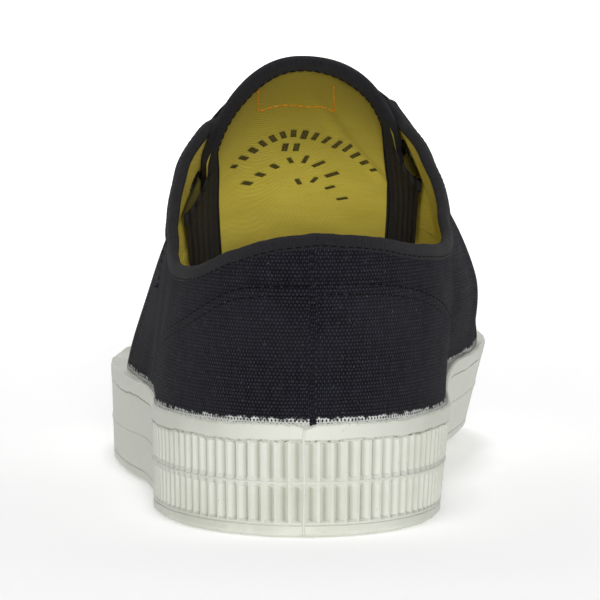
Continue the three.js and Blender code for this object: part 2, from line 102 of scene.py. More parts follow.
SOLE = {
    "columns": ("at", "centre", "lateral", "medial", "lateral_tuck", "medial_tuck",
                "lateral_rim", "medial_rim", "lateral_mid", "medial_mid",
                "lateral_foot", "medial_foot"),
    "rows": np.array([
        (0, -1.0, 39.0, 39.5, 0.7, 1.0, 29.2, 29.2, 14.0, 14.0, 0.8, 0.8),
        (60, -0.2, 39.6, 39.8, 0.7, 3.0, 28.8, 29.2, 14.0, 14.0, 0.8, 0.8),
        (90, 0.0, 40.2, 40.2, 0.7, 4.0, 28.4, 30.0, 13.5, 15.0, 0.8, 2.4),
        (118, 0.0, 43.5, 41.5, 0.8, 5.5, 28.2, 31.0, 13.0, 16.5, 0.8, 5.0),
        (145, -0.5, 50.0, 43.5, 0.8, 6.5, 28.0, 31.8, 12.4, 18.0, 0.8, 6.5),
        (170, -1.0, 54.2, 48.5, 0.8, 6.5, 28.0, 32.4, 12.0, 19.0, 0.8, 7.0),
        (200, -1.5, 56.6, 52.5, 0.9, 6.5, 28.2, 32.6, 12.0, 19.4, 0.8, 7.0),
        (230, -3.0, 55.6, 52.5, 1.2, 6.0, 28.8, 32.6, 13.0, 19.0, 1.6, 6.5),
        (260, -5.0, 53.0, 51.0, 2.0, 5.0, 30.0, 32.8, 15.5, 18.8, 4.0, 6.5),
        (296, -8.0, 50.0, 50.0, 3.0, 3.0, 33.0, 33.0, 18.5, 18.5, 8.0, 8.0),
    ]),
}
COLLAR = {
    "columns": ("at", "lateral", "medial"),
    "rows": np.array([
        (-10, 76.3, 76.3), (4, 76.0, 76.0), (12, 71.5, 74.5), (25, 66.3, 71.8), (45, 65.0, 70.6),
        (62, 68.0, 72.5), (80, 76.0, 79.5), (95, 86.5, 88.5), (104, 94.5, 95.0),
        (110, 99.0, 99.0), (116, 101.5, 101.0),
    ]),
}
COUNTER = {
    "columns": ("at", "lateral", "medial"),
    "rows": np.array([
        (-10, 65.0, 65.0), (8, 64.0, 65.0), (20, 58.5, 63.0), (32, 54.0, 60.0), (50, 49.5, 54.0),
        (68, 44.0, 46.0), (80, 38.0, 38.5), (88, 30.0, 30.0),
    ]),
}
THROAT = {
    "columns": ("at", "lateral", "medial"),
    "rows": np.array([
        (100, 27.5, 28.0), (110, 25.5, 25.5), (135, 18.5, 19.5), (160, 11.5, 12.5),
        (184, 7.0, 8.0),
    ]),
}
TONGUE = {
    "columns": ("at", "lateral", "medial"),
    "rows": np.array([(108, 25.5, 25.0), (130, 26.0, 27.0), (160, 27.0, 29.0), (205, 27.0, 29.0)]),
}


# ---------------------------------------------------------------- camera, first of all

def make_camera():
    """Behind the heel, a little above the shoe, through a long lens."""
    distance = 1.2              # from the back of the heel, metres
    height = 0.153
    tilt = math.radians(4.4197)
    data = bpy.data.cameras.new("camera")
    data.sensor_width = 36.0
    data.lens = 288.0
    data.clip_start = 0.05
    data.clip_end = 60.0
    camera = bpy.data.objects.new("camera", data)
    camera.location = (0.0, HEEL_Y * MM + distance, height)
    camera.rotation_euler = (math.pi / 2 - tilt, 0.0, math.pi)
    bpy.context.scene.collection.objects.link(camera)
    bpy.context.scene.camera = camera


make_camera()


# ---------------------------------------------------------------- surface of the last

HALVINGS = 40
TOP_FROM = 0.4                  # height part above which the last's surface counts as its top


def smooth_step(value):
    t = np.clip(value, 0.0, 1.0)
    return t * t * (3 - 2 * t)


def column(table, name, at):
    """One column of a table, on a smooth curve through its rows."""
    rows = table["rows"]
    x = rows[:, 0]
    y = rows[:, table["columns"].index(name)]
    before = np.concatenate(([0], np.arange(len(x) - 1)))
    after = np.concatenate((np.arange(1, len(x)), [len(x) - 1]))
    slope = (y[after] - y[before]) / (x[after] - x[before])
    at = np.clip(np.asarray(at, float), x[0], x[-1])
    i = np.clip(np.searchsorted(x, at, side="right") - 1, 0, len(x) - 2)
    width = x[i + 1] - x[i]
    t = (at - x[i]) / width
    t2, t3 = t * t, t * t * t
    return ((2 * t3 - 3 * t2 + 1) * y[i] + (t3 - 2 * t2 + t) * slope[i] * width
            + (3 * t2 - 2 * t3) * y[i + 1] + (t3 - t2) * slope[i + 1] * width)


def side_name(side):
    return "lateral" if side > 0 else "medial"


def side_column(table, side, at, part=""):
    """The lateral or medial column of a table."""
    return column(table, side_name(side) + part, at)


def superellipse(part, power):
    return np.maximum(0.0, 1 - np.clip(part, 0.0, 1.0) ** power) ** (1 / power)


def outline_cap(at, start, end):
    heel = superellipse((HEEL_CAP - at) / (HEEL_CAP - start), HEEL_POWER)
    toe = superellipse((at - TOE_CAP) / (end - TOE_CAP), TOE_POWER)
    return np.where(at < HEEL_CAP, heel, np.where(at > TOE_CAP, toe, 1.0))


def heel_end(up):
    """Where the last's back lies: fullest at a quarter of the height, leaning in above and below."""
    above = np.maximum(0, up - HEEL_FULLEST)
    below = np.maximum(0, HEEL_FULLEST - up)
    return HEEL_SET_IN + HEEL_LEAN_ABOVE * above ** 2 + HEEL_LEAN_BELOW * below ** 2


def toe_end(up):
    return TOE_RIDGE_END + TOE_REACH * superellipse(up, TOE_PROFILE_POWER)


def sole_tuck(at, side, z):
    foot = side_column(SOLE, side, at, "_foot")
    rim = side_column(SOLE, side, at, "_rim")
    return side_column(SOLE, side, at, "_tuck") * np.clip((rim - z) / (rim - foot), 0.0, 1.0)


def last_at(at, up, side, grow):
    """Points of the last's surface, grown outwards: up is 0 at the feather edge, 1 at the ridge."""
    at, up = np.broadcast_arrays(np.asarray(at, float), np.asarray(up, float))
    feather = column(LAST, "feather_z", at) - grow
    ridge = column(LAST, "ridge_z", at) + grow
    z = feather + (ridge - feather) * up
    swell = smooth_step((z - feather - BULGE_START) / BULGE_RISE)
    full = side_column(LAST, side, at) + side_column(LAST, side, at, "_bulge") * swell
    half = full + grow - sole_tuck(at, side, z)
    rounding = superellipse(up, side_column(LAST, side, at, "_full"))
    cap = outline_cap(at, heel_end(up) - grow, toe_end(up) + grow)
    centre = column(LAST, "centre", at)
    ridge_x = column(LAST, "ridge_x", at)
    x = centre + (ridge_x - centre) * (1 - rounding) + side * half * cap * rounding
    return np.stack((x, HEEL_Y - at, z), axis=-1)


def last_along(along, up, side, grow):
    """The same, with the place along the shoe as a part of the length at that height."""
    start = heel_end(up) - grow
    end = toe_end(up) + grow
    return last_at(start + (end - start) * along, up, side, grow)


def distance_of(points):
    return HEEL_Y - points[..., 1]


def last_true(test, low, high):
    """The highest value at which a test still holds, by halving."""
    for _ in range(HALVINGS):
        middle = (low + high) / 2
        good = test(middle)
        low = np.where(good, middle, low)
        high = np.where(good, high, middle)
    return low


def highest_up(along, side, grow, inside):
    """For each place along the shoe, the greatest height part that is still inside."""
    def test(up):
        return inside(last_along(along, up, side, grow))
    ridge = np.ones_like(along)
    return np.where(test(ridge), 1.0, last_true(test, np.zeros_like(along), ridge))


def top_points(x, at, grow):
    """Points of the last's top over (x, at)."""
    x, at = np.broadcast_arrays(np.asarray(x, float), np.asarray(at, float))
    result = np.zeros(x.shape + (3,))
    for side in (1, -1):
        def wider(up):
            return (last_at(at, up, side, grow)[..., 0] - x) * side > 0
        mine = (x >= column(LAST, "ridge_x", at)) == (side > 0)
        up = last_true(wider, np.full(x.shape, TOP_FROM), np.ones(x.shape))
        found = last_at(at, up, side, grow)
        found[..., 0] = x
        result = np.where(mine[..., None], found, result)
    return result


def throat_half(at, side):
    """Half width of the throat, closing in a round end."""
    into_round = np.clip(at - (THROAT_END - THROAT_ROUND), 0, THROAT_ROUND) / THROAT_ROUND
    end = np.sqrt(np.clip(1 - into_round ** 2, 0, 1))
    return side_column(THROAT, side, at) * end


def below_edge(side):
    """Test for the part of the last's surface that the upper covers."""
    def inside(points):
        at = distance_of(points)
        collar = np.where(at < COLLAR_END, side_column(COLLAR, side, at), NO_COLLAR)
        beside = side * points[..., 0] > throat_half(at, side)
        return (points[..., 2] < collar) & (beside | (at < THROAT_START) | (at > THROAT_END))
    return inside


def below_height(height_at):
    def inside(points):
        return points[..., 2] < height_at(distance_of(points))
    return inside


def rim_height(at, side):
    return side_column(SOLE, side, at, "_rim") - RIM_DROP


# ---------------------------------------------------------------- meshes

def wave(x, *terms):
    """A smooth uneven line: a sum of sines, each (size, length, phase)."""
    total = 0.0
    for size, length, phase in terms:
        total = total + size * np.sin(2 * math.pi * x / length + phase)
    return total


def rough_noise(count, seed):
    return np.random.default_rng(seed).uniform(-1.0, 1.0, count)


def make_piece(name, points, faces, material, slot, replaces=(), maps=None):
    """A mesh object in metres that rides on the one body."""
    mesh = bpy.data.meshes.new(name)
    mesh.from_pydata((np.asarray(points) * MM).tolist(), [], faces)
    mesh.validate()
    for map_name, values in (maps or {}).items():
        layer = mesh.uv_layers.new(name=map_name)
        corners = np.empty(len(mesh.loops), dtype=np.int32)
        mesh.loops.foreach_get("vertex_index", corners)
        layer.data.foreach_set("uv", np.asarray(values, dtype=np.float32)[corners].ravel())
    mesh.polygons.foreach_set("use_smooth", np.ones(len(mesh.polygons), dtype=bool))
    mesh.materials.append(material)
    piece = bpy.data.objects.new(name, mesh)
    bpy.context.scene.collection.objects.link(piece)
    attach(piece, "root")
    if replaces:
        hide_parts(*replaces)
    return piece


def mark_sharp(mesh, degrees):
    work = bmesh.new()
    work.from_mesh(mesh)
    limit = math.radians(degrees)
    for edge in work.edges:
        edge.smooth = not (len(edge.link_faces) == 2 and edge.calc_face_angle(0.0) > limit)
    work.to_mesh(mesh)
    work.free()


def grid_faces(rows, columns, offset=0, closed_rows=False, closed_columns=False):
    """Quads over a grid of points numbered row by row."""
    faces = []
    for i in range(rows if closed_rows else rows - 1):
        a = offset + i * columns
        b = offset + ((i + 1) % rows) * columns
        for j in range(columns if closed_columns else columns - 1):
            k = (j + 1) % columns
            faces.append((a + j, a + k, b + k, b + j))
    return faces


def shell(outer, inner):
    """A closed sheet between two grids of the same shape, numbered outer first."""
    rows, columns = outer.shape[:2]
    count = rows * columns
    points = np.concatenate((outer.reshape(-1, 3), inner.reshape(-1, 3)))
    faces = grid_faces(rows, columns)
    faces += [face[::-1] for face in grid_faces(rows, columns, count)]
    border = [(i, 0) for i in range(rows)] + [(rows - 1, j) for j in range(1, columns)]
    border += [(i, columns - 1) for i in range(rows - 2, -1, -1)]
    border += [(0, j) for j in range(columns - 2, 0, -1)]
    ring = [i * columns + j for i, j in border]
    for a, b in zip(ring, ring[1:] + ring[:1]):
        faces.append((b, a, a + count, b + count))
    return points, faces


def arc_lengths(points, axis=0):
    steps = np.linalg.norm(np.diff(points, axis=axis), axis=-1)
    zero = np.zeros_like(np.take(steps, [0], axis=axis))
    return np.concatenate((zero, np.cumsum(steps, axis=axis)), axis=axis)


def evenly(path, step, *others):
    """The path, and others point for point beside it, taken at an even step along the path."""
    lengths = arc_lengths(path)
    places = np.linspace(0, lengths[-1], int(lengths[-1] / step))
    return [np.stack([np.interp(places, lengths, line[:, k]) for k in range(3)], -1)
            for line in (path, *others)]


def denser_at_ends(count):
    """Places from 0 to 1 that stand closer together near both ends."""
    return (1 - np.cos(np.linspace(0, np.pi, count))) / 2


def flat_map(u, v):
    """One row of map values per point, from two grids."""
    return np.stack(np.broadcast_arrays(u, v), axis=-1).reshape(-1, 2)


def both_faces(values):
    """Map values for a sheet's outer and inner grid."""
    return np.concatenate((values, values))


def end_caps(rows, columns):
    """The two faces that close a tube's ends."""
    return [tuple(range(columns - 1, -1, -1)), tuple(range((rows - 1) * columns, rows * columns))]


def unit(vectors):
    return vectors / np.maximum(np.linalg.norm(vectors, axis=-1, keepdims=True), 1e-9)


def grid_normals(points):
    """Normals of a grid of points, from its two directions."""
    return unit(np.cross(np.gradient(points, axis=0), np.gradient(points, axis=1)))


def sweep(path, across, lift, profile):
    """A tube of one section along a path: profile is (distance along across, along lift)."""
    profile = np.asarray(profile, float)
    points = (path[:, None, :] + across[:, None, :] * profile[None, :, :1]
              + lift[:, None, :] * profile[None, :, 1:])
    rows, columns = points.shape[:2]
    faces = grid_faces(rows, columns, closed_columns=True) + end_caps(rows, columns)
    return points.reshape(-1, 3), faces, (rows, columns)


def capsule():
    """A stitch of unit length and unit radius, lying along X."""
    segments = 8
    stations = [(-0.5, 0.0), (-0.46, 0.55), (-0.33, 0.92), (0.0, 1.0), (0.33, 0.92),
                (0.46, 0.55), (0.5, 0.0)]
    points = [(stations[0][0], 0.0, 0.0)]
    for x, radius in stations[1:-1]:
        for k in range(segments):
            turn = 2 * math.pi * k / segments
            points.append((x, radius * math.cos(turn), radius * math.sin(turn)))
    points.append((stations[-1][0], 0.0, 0.0))
    rings = len(stations) - 2
    faces = [(0, 1 + (k + 1) % segments, 1 + k) for k in range(segments)]
    faces += grid_faces(rings, segments, 1, closed_columns=True)
    last = len(points) - 1
    base = 1 + (rings - 1) * segments
    faces += [(last, base + k, base + (k + 1) % segments) for k in range(segments)]
    return np.array(points), faces


def merged(parts):
    """One mesh's points and faces from several, in order."""
    points, faces, base = [], [], 0
    for part_points, part_faces in parts:
        points.append(part_points)
        faces += [tuple(base + k for k in face) for face in part_faces]
        base += len(part_points)
    return np.concatenate(points), faces


class Stitching:
    """Rows of thread stitches, gathered into one mesh."""

    def __init__(self):
        self.parts = []
        self.template, self.template_faces = capsule()

    def row(self, path, normals, pitch=2.6, length=1.9, radius=0.24, sink=0.05):
        lengths = arc_lengths(path)
        places = np.arange(pitch / 2, lengths[-1] - pitch / 2, pitch)
        for place in places:
            ends = [self.at(path, lengths, place + part * length / 2) for part in (-1, 1)]
            normal = unit(self.at(normals, lengths, place))
            run = ends[1] - ends[0]
            forward = unit(run)
            sideways = unit(np.cross(normal, forward))
            centre = (ends[0] + ends[1]) / 2 + normal * (radius * 0.5 - sink)
            t = self.template
            points = (centre + t[:, :1] * forward * length + t[:, 1:2] * sideways * radius
                      + t[:, 2:] * normal * radius * 0.75)
            self.parts.append((points, self.template_faces))

    @staticmethod
    def at(values, lengths, place):
        return np.array([np.interp(place, lengths, values[:, k]) for k in range(3)])

    def build(self, name, material):
        make_piece(name, *merged(self.parts), material, "thread")


# ---------------------------------------------------------------- materials

class Nodes:
    """Short calls for building one material's node tree."""

    def __init__(self, name, roughness, metallic=0.0, sheen=0.0, specular=0.5):
        self.material = bpy.data.materials.new(name)
        self.material.use_nodes = True
        self.tree = self.material.node_tree
        self.shader = self.tree.nodes["Principled BSDF"]
        self.shader.inputs["Roughness"].default_value = roughness
        self.shader.inputs["Metallic"].default_value = metallic
        self.shader.inputs["Sheen Weight"].default_value = sheen
        self.shader.inputs["Specular IOR Level"].default_value = specular

    def node(self, kind, **settings):
        node = self.tree.nodes.new(kind)
        for key, value in settings.items():
            setattr(node, key, value)
        return node

    def link(self, source, target):
        if isinstance(source, (int, float, tuple)):
            target.default_value = source
        else:
            self.tree.links.new(source, target)

    def math(self, operation, *values, clamp=False):
        node = self.node("ShaderNodeMath", operation=operation, use_clamp=clamp)
        for socket, value in zip(node.inputs, values):
            self.link(value, socket)
        return node.outputs[0]

    def uv(self, name="Cloth"):
        node = self.node("ShaderNodeUVMap", uv_map=name)
        split = self.node("ShaderNodeSeparateXYZ")
        self.link(node.outputs[0], split.inputs[0])
        return node.outputs[0], split.outputs[0], split.outputs[1]

    def place(self):
        return self.node("ShaderNodeTexCoord").outputs["Object"]

    def noise(self, vector, scale, detail=3.0, rough=0.5):
        node = self.node("ShaderNodeTexNoise")
        self.link(vector, node.inputs["Vector"])
        node.inputs["Scale"].default_value = scale
        node.inputs["Detail"].default_value = detail
        node.inputs["Roughness"].default_value = rough
        return node.outputs["Fac"]

    def ripple(self, value, rate):
        """The round backs of yarns that lie side by side, from 0 to 1."""
        return self.math("ABSOLUTE", self.math("SINE", self.math("MULTIPLY", value, rate)))

    def stretched(self, vector, scale):
        node = self.node("ShaderNodeVectorMath", operation="MULTIPLY")
        self.link(vector, node.inputs[0])
        node.inputs[1].default_value = scale
        return node.outputs[0]

    def ramp(self, value, low, high, to_low=0.0, to_high=1.0):
        node = self.node("ShaderNodeMapRange", interpolation_type="SMOOTHSTEP")
        self.link(value, node.inputs["Value"])
        node.inputs["From Min"].default_value = low
        node.inputs["From Max"].default_value = high
        node.inputs["To Min"].default_value = to_low
        node.inputs["To Max"].default_value = to_high
        return node.outputs["Result"]

    def mix(self, part, first, second):
        node = self.node("ShaderNodeMix", data_type="RGBA")
        self.link(part, node.inputs[0])
        self.link(first, node.inputs[6])
        self.link(second, node.inputs[7])
        return node.outputs[2]

    def finish(self, colour, height, depth, strength=1.0, roughness=None):
        self.link(colour, self.shader.inputs["Base Color"])
        bump = self.node("ShaderNodeBump")
        bump.inputs["Strength"].default_value = strength
        bump.inputs["Distance"].default_value = depth
        self.link(height, bump.inputs["Height"])
        self.link(bump.outputs[0], self.shader.inputs["Normal"])
        if roughness is not None:
            self.link(roughness, self.shader.inputs["Roughness"])
        return self.material


def rgb(red, green, blue):
    """A colour given in display values, 0 to 255, as the linear value that a shader takes."""
    def linear(value):
        value = value / 255.0
        return value / 12.92 if value <= 0.04045 else ((value + 0.055) / 1.055) ** 2.4
    return (linear(red), linear(green), linear(blue), 1.0)


WEAVE_DRIFT = 0.5               # how far the yarns wander


def plain_weave(nodes, warp, weft):
    """Height of a plain weave over the Cloth map, whose numbers are millimetres."""
    vector, u, v = nodes.uv()
    shake = nodes.noise(vector, 0.16, 2.0)
    drift = nodes.math("MULTIPLY", nodes.math("SUBTRACT", shake, 0.5), WEAVE_DRIFT)
    a = nodes.math("DIVIDE", nodes.math("ADD", u, drift), warp)
    b = nodes.math("DIVIDE", nodes.math("ADD", v, nodes.math("MULTIPLY", drift, 0.7)), weft)
    wave_a = nodes.math("SINE", nodes.math("MULTIPLY", a, math.pi))
    wave_b = nodes.math("SINE", nodes.math("MULTIPLY", b, math.pi))
    product = nodes.math("MULTIPLY", wave_a, wave_b)
    dome = nodes.math("POWER", nodes.math("ABSOLUTE", product), 0.6)
    over = nodes.ramp(product, -0.15, 0.15, 0.55, 1.0)
    yarn_a = nodes.noise(nodes.stretched(vector, (0.9, 0.16, 1.0)), 1.1, 2.0)
    yarn_b = nodes.noise(nodes.stretched(vector, (0.16, 0.9, 1.0)), 1.1, 2.0)
    yarn = nodes.ramp(nodes.math("ADD", yarn_a, yarn_b), 0.75, 1.3, 0.72, 1.12)
    return nodes.math("MULTIPLY", nodes.math("MULTIPLY", dome, over), yarn)


def canvas_material(name="canvas", bleed=True):
    """Coarse black canvas, with rubber that has bled into the weave along the sole's rim."""
    nodes = Nodes(name, 0.95, sheen=0.03, specular=0.12)
    height = plain_weave(nodes, 0.5, 0.91)
    place = nodes.place()
    cloud = nodes.noise(place, 55.0, 3.0)
    lint = nodes.ramp(nodes.noise(place, 1500.0, 2.0), 0.66, 0.76)
    base = nodes.mix(nodes.ramp(height, 0.2, 0.95), rgb(8, 8, 11), rgb(53, 53, 67))
    base = nodes.mix(nodes.ramp(cloud, 0.35, 0.7, 0.0, 0.22), base, rgb(50, 49, 56))
    colour = nodes.mix(nodes.math("MULTIPLY", lint, 0.35), base, rgb(120, 120, 126))
    if bleed:
        vector, _, above = nodes.uv("Rim")
        ragged = nodes.noise(vector, 0.4, 4.0, 0.7)
        limit = nodes.ramp(ragged, 0.36, 0.62, 0.9, 1.9)
        near = nodes.ramp(nodes.math("SUBTRACT", limit, above), -0.1, 0.5)
        pores = nodes.ramp(height, 0.36, 0.54, 1.0, 0.0)
        crumbs = nodes.noise(vector, 0.9, 3.0, 0.7)
        lip = nodes.ramp(crumbs, 0.4, 0.6, 0.0, 0.45)
        tight = nodes.ramp(nodes.math("SUBTRACT", lip, above), 0.0, 0.2)
        white = nodes.math("MAXIMUM", nodes.math("MULTIPLY", near, pores), tight, clamp=True)
        colour = nodes.mix(white, colour, rgb(236, 238, 233))
    return nodes.finish(colour, height, 0.0005, 1.0)


def twill_material(name="twill", shade_top=False):
    """Yellow cotton twill with fine diagonal lines; the tongue's copy has painted shade that darkens it
    towards its top.
    """
    nodes = Nodes(name, 0.9, sheen=0.05, specular=0.2)
    vector, u, v = nodes.uv()
    slant = nodes.math("ADD", nodes.math("MULTIPLY", u, 0.9), nodes.math("MULTIPLY", v, 1.15))
    line = nodes.ripple(slant, 3.0)
    cross = nodes.ripple(v, 7.5)
    height = nodes.math("ADD", nodes.math("POWER", line, 0.7), nodes.math("MULTIPLY", cross, 0.12))
    cloud = nodes.noise(nodes.place(), 70.0, 4.0)
    slub = nodes.noise(nodes.stretched(vector, (0.08, 1.0, 1.0)), 1.6, 3.0)
    base = nodes.mix(nodes.ramp(height, 0.1, 1.0), rgb(190, 172, 46), rgb(232, 216, 88))
    base = nodes.mix(nodes.ramp(cloud, 0.3, 0.75, 0.0, 0.4), base, rgb(202, 184, 58))
    colour = nodes.mix(nodes.ramp(slub, 0.4, 0.75, 0.0, 0.35), base, rgb(236, 224, 122))
    if shade_top:
        # painted shade: the tongue's lining is darkened towards its top, by height
        split = nodes.node("ShaderNodeSeparateXYZ")
        nodes.link(nodes.place(), split.inputs[0])
        painted_shade = nodes.ramp(split.outputs[2], 0.078, 0.112, 0.0, 0.9)
        colour = nodes.mix(painted_shade, colour, rgb(134, 118, 24))
    return nodes.finish(colour, height, 0.00018, 0.8)


def tape_material():
    """Fine black cotton tape with cross ribs and a little fuzz."""
    nodes = Nodes("tape", 0.9, sheen=0.05, specular=0.15)
    _, u, v = nodes.uv()
    rib = nodes.ripple(u, 7.0)
    fine = nodes.ripple(v, 10.0)
    fuzz = nodes.noise(nodes.place(), 2600.0, 3.0)
    height = nodes.math("ADD", nodes.math("MULTIPLY", nodes.math("ADD", rib, fine), 0.4), fuzz)
    cloud = nodes.noise(nodes.place(), 90.0, 2.0)
    base = nodes.mix(nodes.ramp(height, 0.5, 1.3), rgb(4, 4, 6), rgb(41, 40, 44))
    colour = nodes.mix(nodes.ramp(cloud, 0.4, 0.7, 0.0, 0.3), base, rgb(36, 35, 39))
    return nodes.finish(colour, height, 0.00025, 0.9)


def elastic_material():
    """Black woven elastic: bold ribs along its length."""
    nodes = Nodes("elastic", 0.85, sheen=0.03, specular=0.2)
    _, u, v = nodes.uv()
    rib = nodes.ripple(v, 1.7)
    dash = nodes.ripple(u, 3.4)
    height = nodes.math("MULTIPLY", nodes.math("POWER", rib, 0.5),
                        nodes.math("ADD", nodes.math("MULTIPLY", dash, 0.5), 0.5))
    colour = nodes.mix(nodes.ramp(height, 0.1, 0.9), rgb(8, 8, 9), rgb(46, 44, 46))
    return nodes.finish(colour, height, 0.0006, 1.0)


def rubber_material():
    """Off-white moulded rubber, satin, with faint mottling, painted shade in its rib grooves and dirt
    along the crease under the rim.
    """
    nodes = Nodes("rubber", 0.5, specular=0.4)
    place = nodes.place()
    mottle = nodes.noise(place, 60.0, 4.0)
    speck = nodes.ramp(nodes.noise(place, 900.0, 2.0), 0.68, 0.76)
    grain = nodes.noise(place, 1500.0, 4.0)
    base = nodes.mix(nodes.ramp(mottle, 0.3, 0.7), rgb(206, 208, 195), rgb(216, 218, 208))
    # painted shade: the rib grooves darken with their depth
    _, depth, _ = nodes.uv("Groove")
    base = nodes.mix(nodes.ramp(depth, 0.3, 1.0, 0.0, 0.7), base, rgb(168, 170, 154))
    vector, _, above = nodes.uv("Rim")
    crease = nodes.math("ABSOLUTE", nodes.math("ADD", above, 4.25))
    torn = nodes.ramp(nodes.noise(vector, 0.8, 4.0, 0.7), 0.5, 0.66)
    dirt = nodes.math("MULTIPLY", nodes.ramp(crease, 0.12, 0.45, 1.0, 0.0), torn)
    lip = nodes.math("MULTIPLY", nodes.ramp(above, -0.9, -0.1), nodes.math("MULTIPLY", torn, 0.5))
    colour = nodes.mix(nodes.math("MULTIPLY", dirt, 0.8), base, rgb(92, 88, 70))
    colour = nodes.mix(lip, colour, rgb(150, 144, 104))
    colour = nodes.mix(nodes.math("MULTIPLY", speck, 0.3), colour, rgb(160, 158, 140))
    rough = nodes.ramp(mottle, 0.3, 0.7, 0.42, 0.62)
    return nodes.finish(colour, grain, 0.00012, 0.5, rough)


def thread_material(name, dark, light):
    nodes = Nodes(name, 0.9, sheen=0.01, specular=0.08)
    place = nodes.place()
    twist = nodes.noise(place, 3000.0, 2.0)
    colour = nodes.mix(nodes.ramp(twist, 0.3, 0.7), dark, light)
    return nodes.finish(colour, twist, 0.00008, 0.6)


def lace_material():
    """Flat black lace: small chevrons of a tubular braid."""
    nodes = Nodes("lace", 0.85, sheen=0.04, specular=0.2)
    _, u, v = nodes.uv()
    fold = nodes.math("ABSOLUTE", v)
    left = nodes.math("SINE", nodes.math("MULTIPLY", nodes.math("ADD", u, fold), 6.0))
    grain = nodes.math("SINE", nodes.math("MULTIPLY", v, 9.0))
    height = nodes.math("ABSOLUTE", nodes.math("MULTIPLY", left, grain))
    colour = nodes.mix(nodes.ramp(height, 0.1, 0.8), rgb(16, 16, 18), rgb(50, 49, 54))
    return nodes.finish(colour, height, 0.0002, 0.9)


def eyelet_material():
    nodes = Nodes("eyelet", 0.35, metallic=0.3)
    wear = nodes.noise(nodes.place(), 700.0, 3.0)
    colour = nodes.mix(nodes.ramp(wear, 0.6, 0.75, 0.0, 0.5), rgb(18, 18, 20), rgb(90, 88, 84))
    return nodes.finish(colour, wear, 0.00003, 0.3)


CANVAS = canvas_material()
CANVAS_CLEAN = canvas_material("canvas_clean", bleed=False)
TWILL = twill_material()
TONGUE_TWILL = twill_material("tongue_twill", shade_top=True)
TAPE = tape_material()
ELASTIC = elastic_material()
RUBBER = rubber_material()
BLACK_THREAD = thread_material("black_thread", rgb(2, 2, 3), rgb(15, 14, 18))
ORANGE_THREAD = thread_material("orange_thread", rgb(186, 112, 14), rgb(236, 160, 42))
STAMP_INK = thread_material("stamp_ink", rgb(44, 42, 30), rgb(110, 101, 46))
LACE = lace_material()
EYELET = eyelet_material()


# ---------------------------------------------------------------- upper

ALONG_STEPS = 300
ALONG_PLACES = denser_at_ends(ALONG_STEPS + 1)
UP_STEPS = 64
TUCKED_IN = 6.0                 # canvas hidden behind the sole's rim
VAMP_SEAM_TOP = 186.0           # the quarter's front edge, at the throat ...
VAMP_SEAM_FOOT = 206.0          # ... and at the sole


def front_seam(z):
    """Where the quarter's front edge lies, by height."""
    up = (z - 20.0) / 50.0
    return VAMP_SEAM_FOOT + (VAMP_SEAM_TOP - VAMP_SEAM_FOOT) * smooth_step(up)


def upper_ups(side):
    """Height parts of the upper's grid: from behind the rim to the top edge."""
    foot = highest_up(ALONG_PLACES, side, WALL,
                      below_height(lambda at: side_column(SOLE, side, at, "_rim") - TUCKED_IN))
    top = highest_up(ALONG_PLACES, side, WALL, below_edge(side))
    rise = np.linspace(0, 1, UP_STEPS + 1)
    return foot[:, None] + (top - foot)[:, None] * rise[None, :], top


# Troughs across the upper: each lies at "at" + lean * (z - CREASE_LEVEL), and starts at height "from".
CREASE_LEVEL = 45.0
CREASES = {
    "columns": ("depth", "at", "lean", "width", "from", "rise"),
    "rows": (
        (0.55, 205.0, 0.25, 7.0, 36.0, 14.0),       # where the ball of the foot bends
        (0.35, 222.0, 0.2, 6.0, 38.0, 12.0),        # a weaker one ahead of it
        (0.4, 154.0, -0.8, 9.0, 34.0, 16.0),        # the quarter's drape, leaning back
    ),
}
WAIST_HOLLOW = 0.7              # depth of the hollow in the quarter over the waist
SEAM_DEPTH = 0.45               # how far the quarter's front seam is drawn in


def soft_shape(points, side):
    """Soft troughs and ridges of an unworn canvas upper, in millimetres along the normal."""
    at = distance_of(points)
    z = points[..., 2]
    shape = wave(at + 0.6 * z, (0.16, 31.0, 0.4 + side), (0.10, 17.0, 1.3 * side))
    for depth, place, lean, width, start, rise in CREASES["rows"]:
        across = at - place - lean * (z - CREASE_LEVEL)
        shape = shape - depth * np.exp(-(across / width) ** 2) * smooth_step((z - start) / rise)
    shape = shape - WAIST_HOLLOW * np.exp(-((at - 128) / 16.0) ** 2 - ((z - 44) / 9.0) ** 2)
    return shape - SEAM_DEPTH * np.exp(-((at - front_seam(z)) / 1.1) ** 2)


def creases(points, normals, side):
    """How far the soft shape moves points along their normals; it fades at the heel, toe and ridge."""
    at = distance_of(points)
    fade = smooth_step(at / 20) * smooth_step((290 - at) / 14)
    middle = 0.3 + 0.7 * smooth_step(np.abs(side * points[..., 0] + 2.5) / 5.0)
    return (soft_shape(points, side) * fade * middle)[..., None] * normals


def upper_layers():
    """Grids of the upper for both sides, at a growth of the last."""
    layers = {}
    for side in (1, -1):
        ups, top = upper_ups(side)
        outer = last_along(ALONG_PLACES[:, None], ups, side, WALL)
        normals = grid_normals(outer) * -side
        layers[side] = {"ups": ups, "top": top, "bend": creases(outer, normals, side)}
    return layers


UPPER = upper_layers()


def upper_grid(side, grow):
    layer = UPPER[side]
    return last_along(ALONG_PLACES[:, None], layer["ups"], side, grow) + layer["bend"]


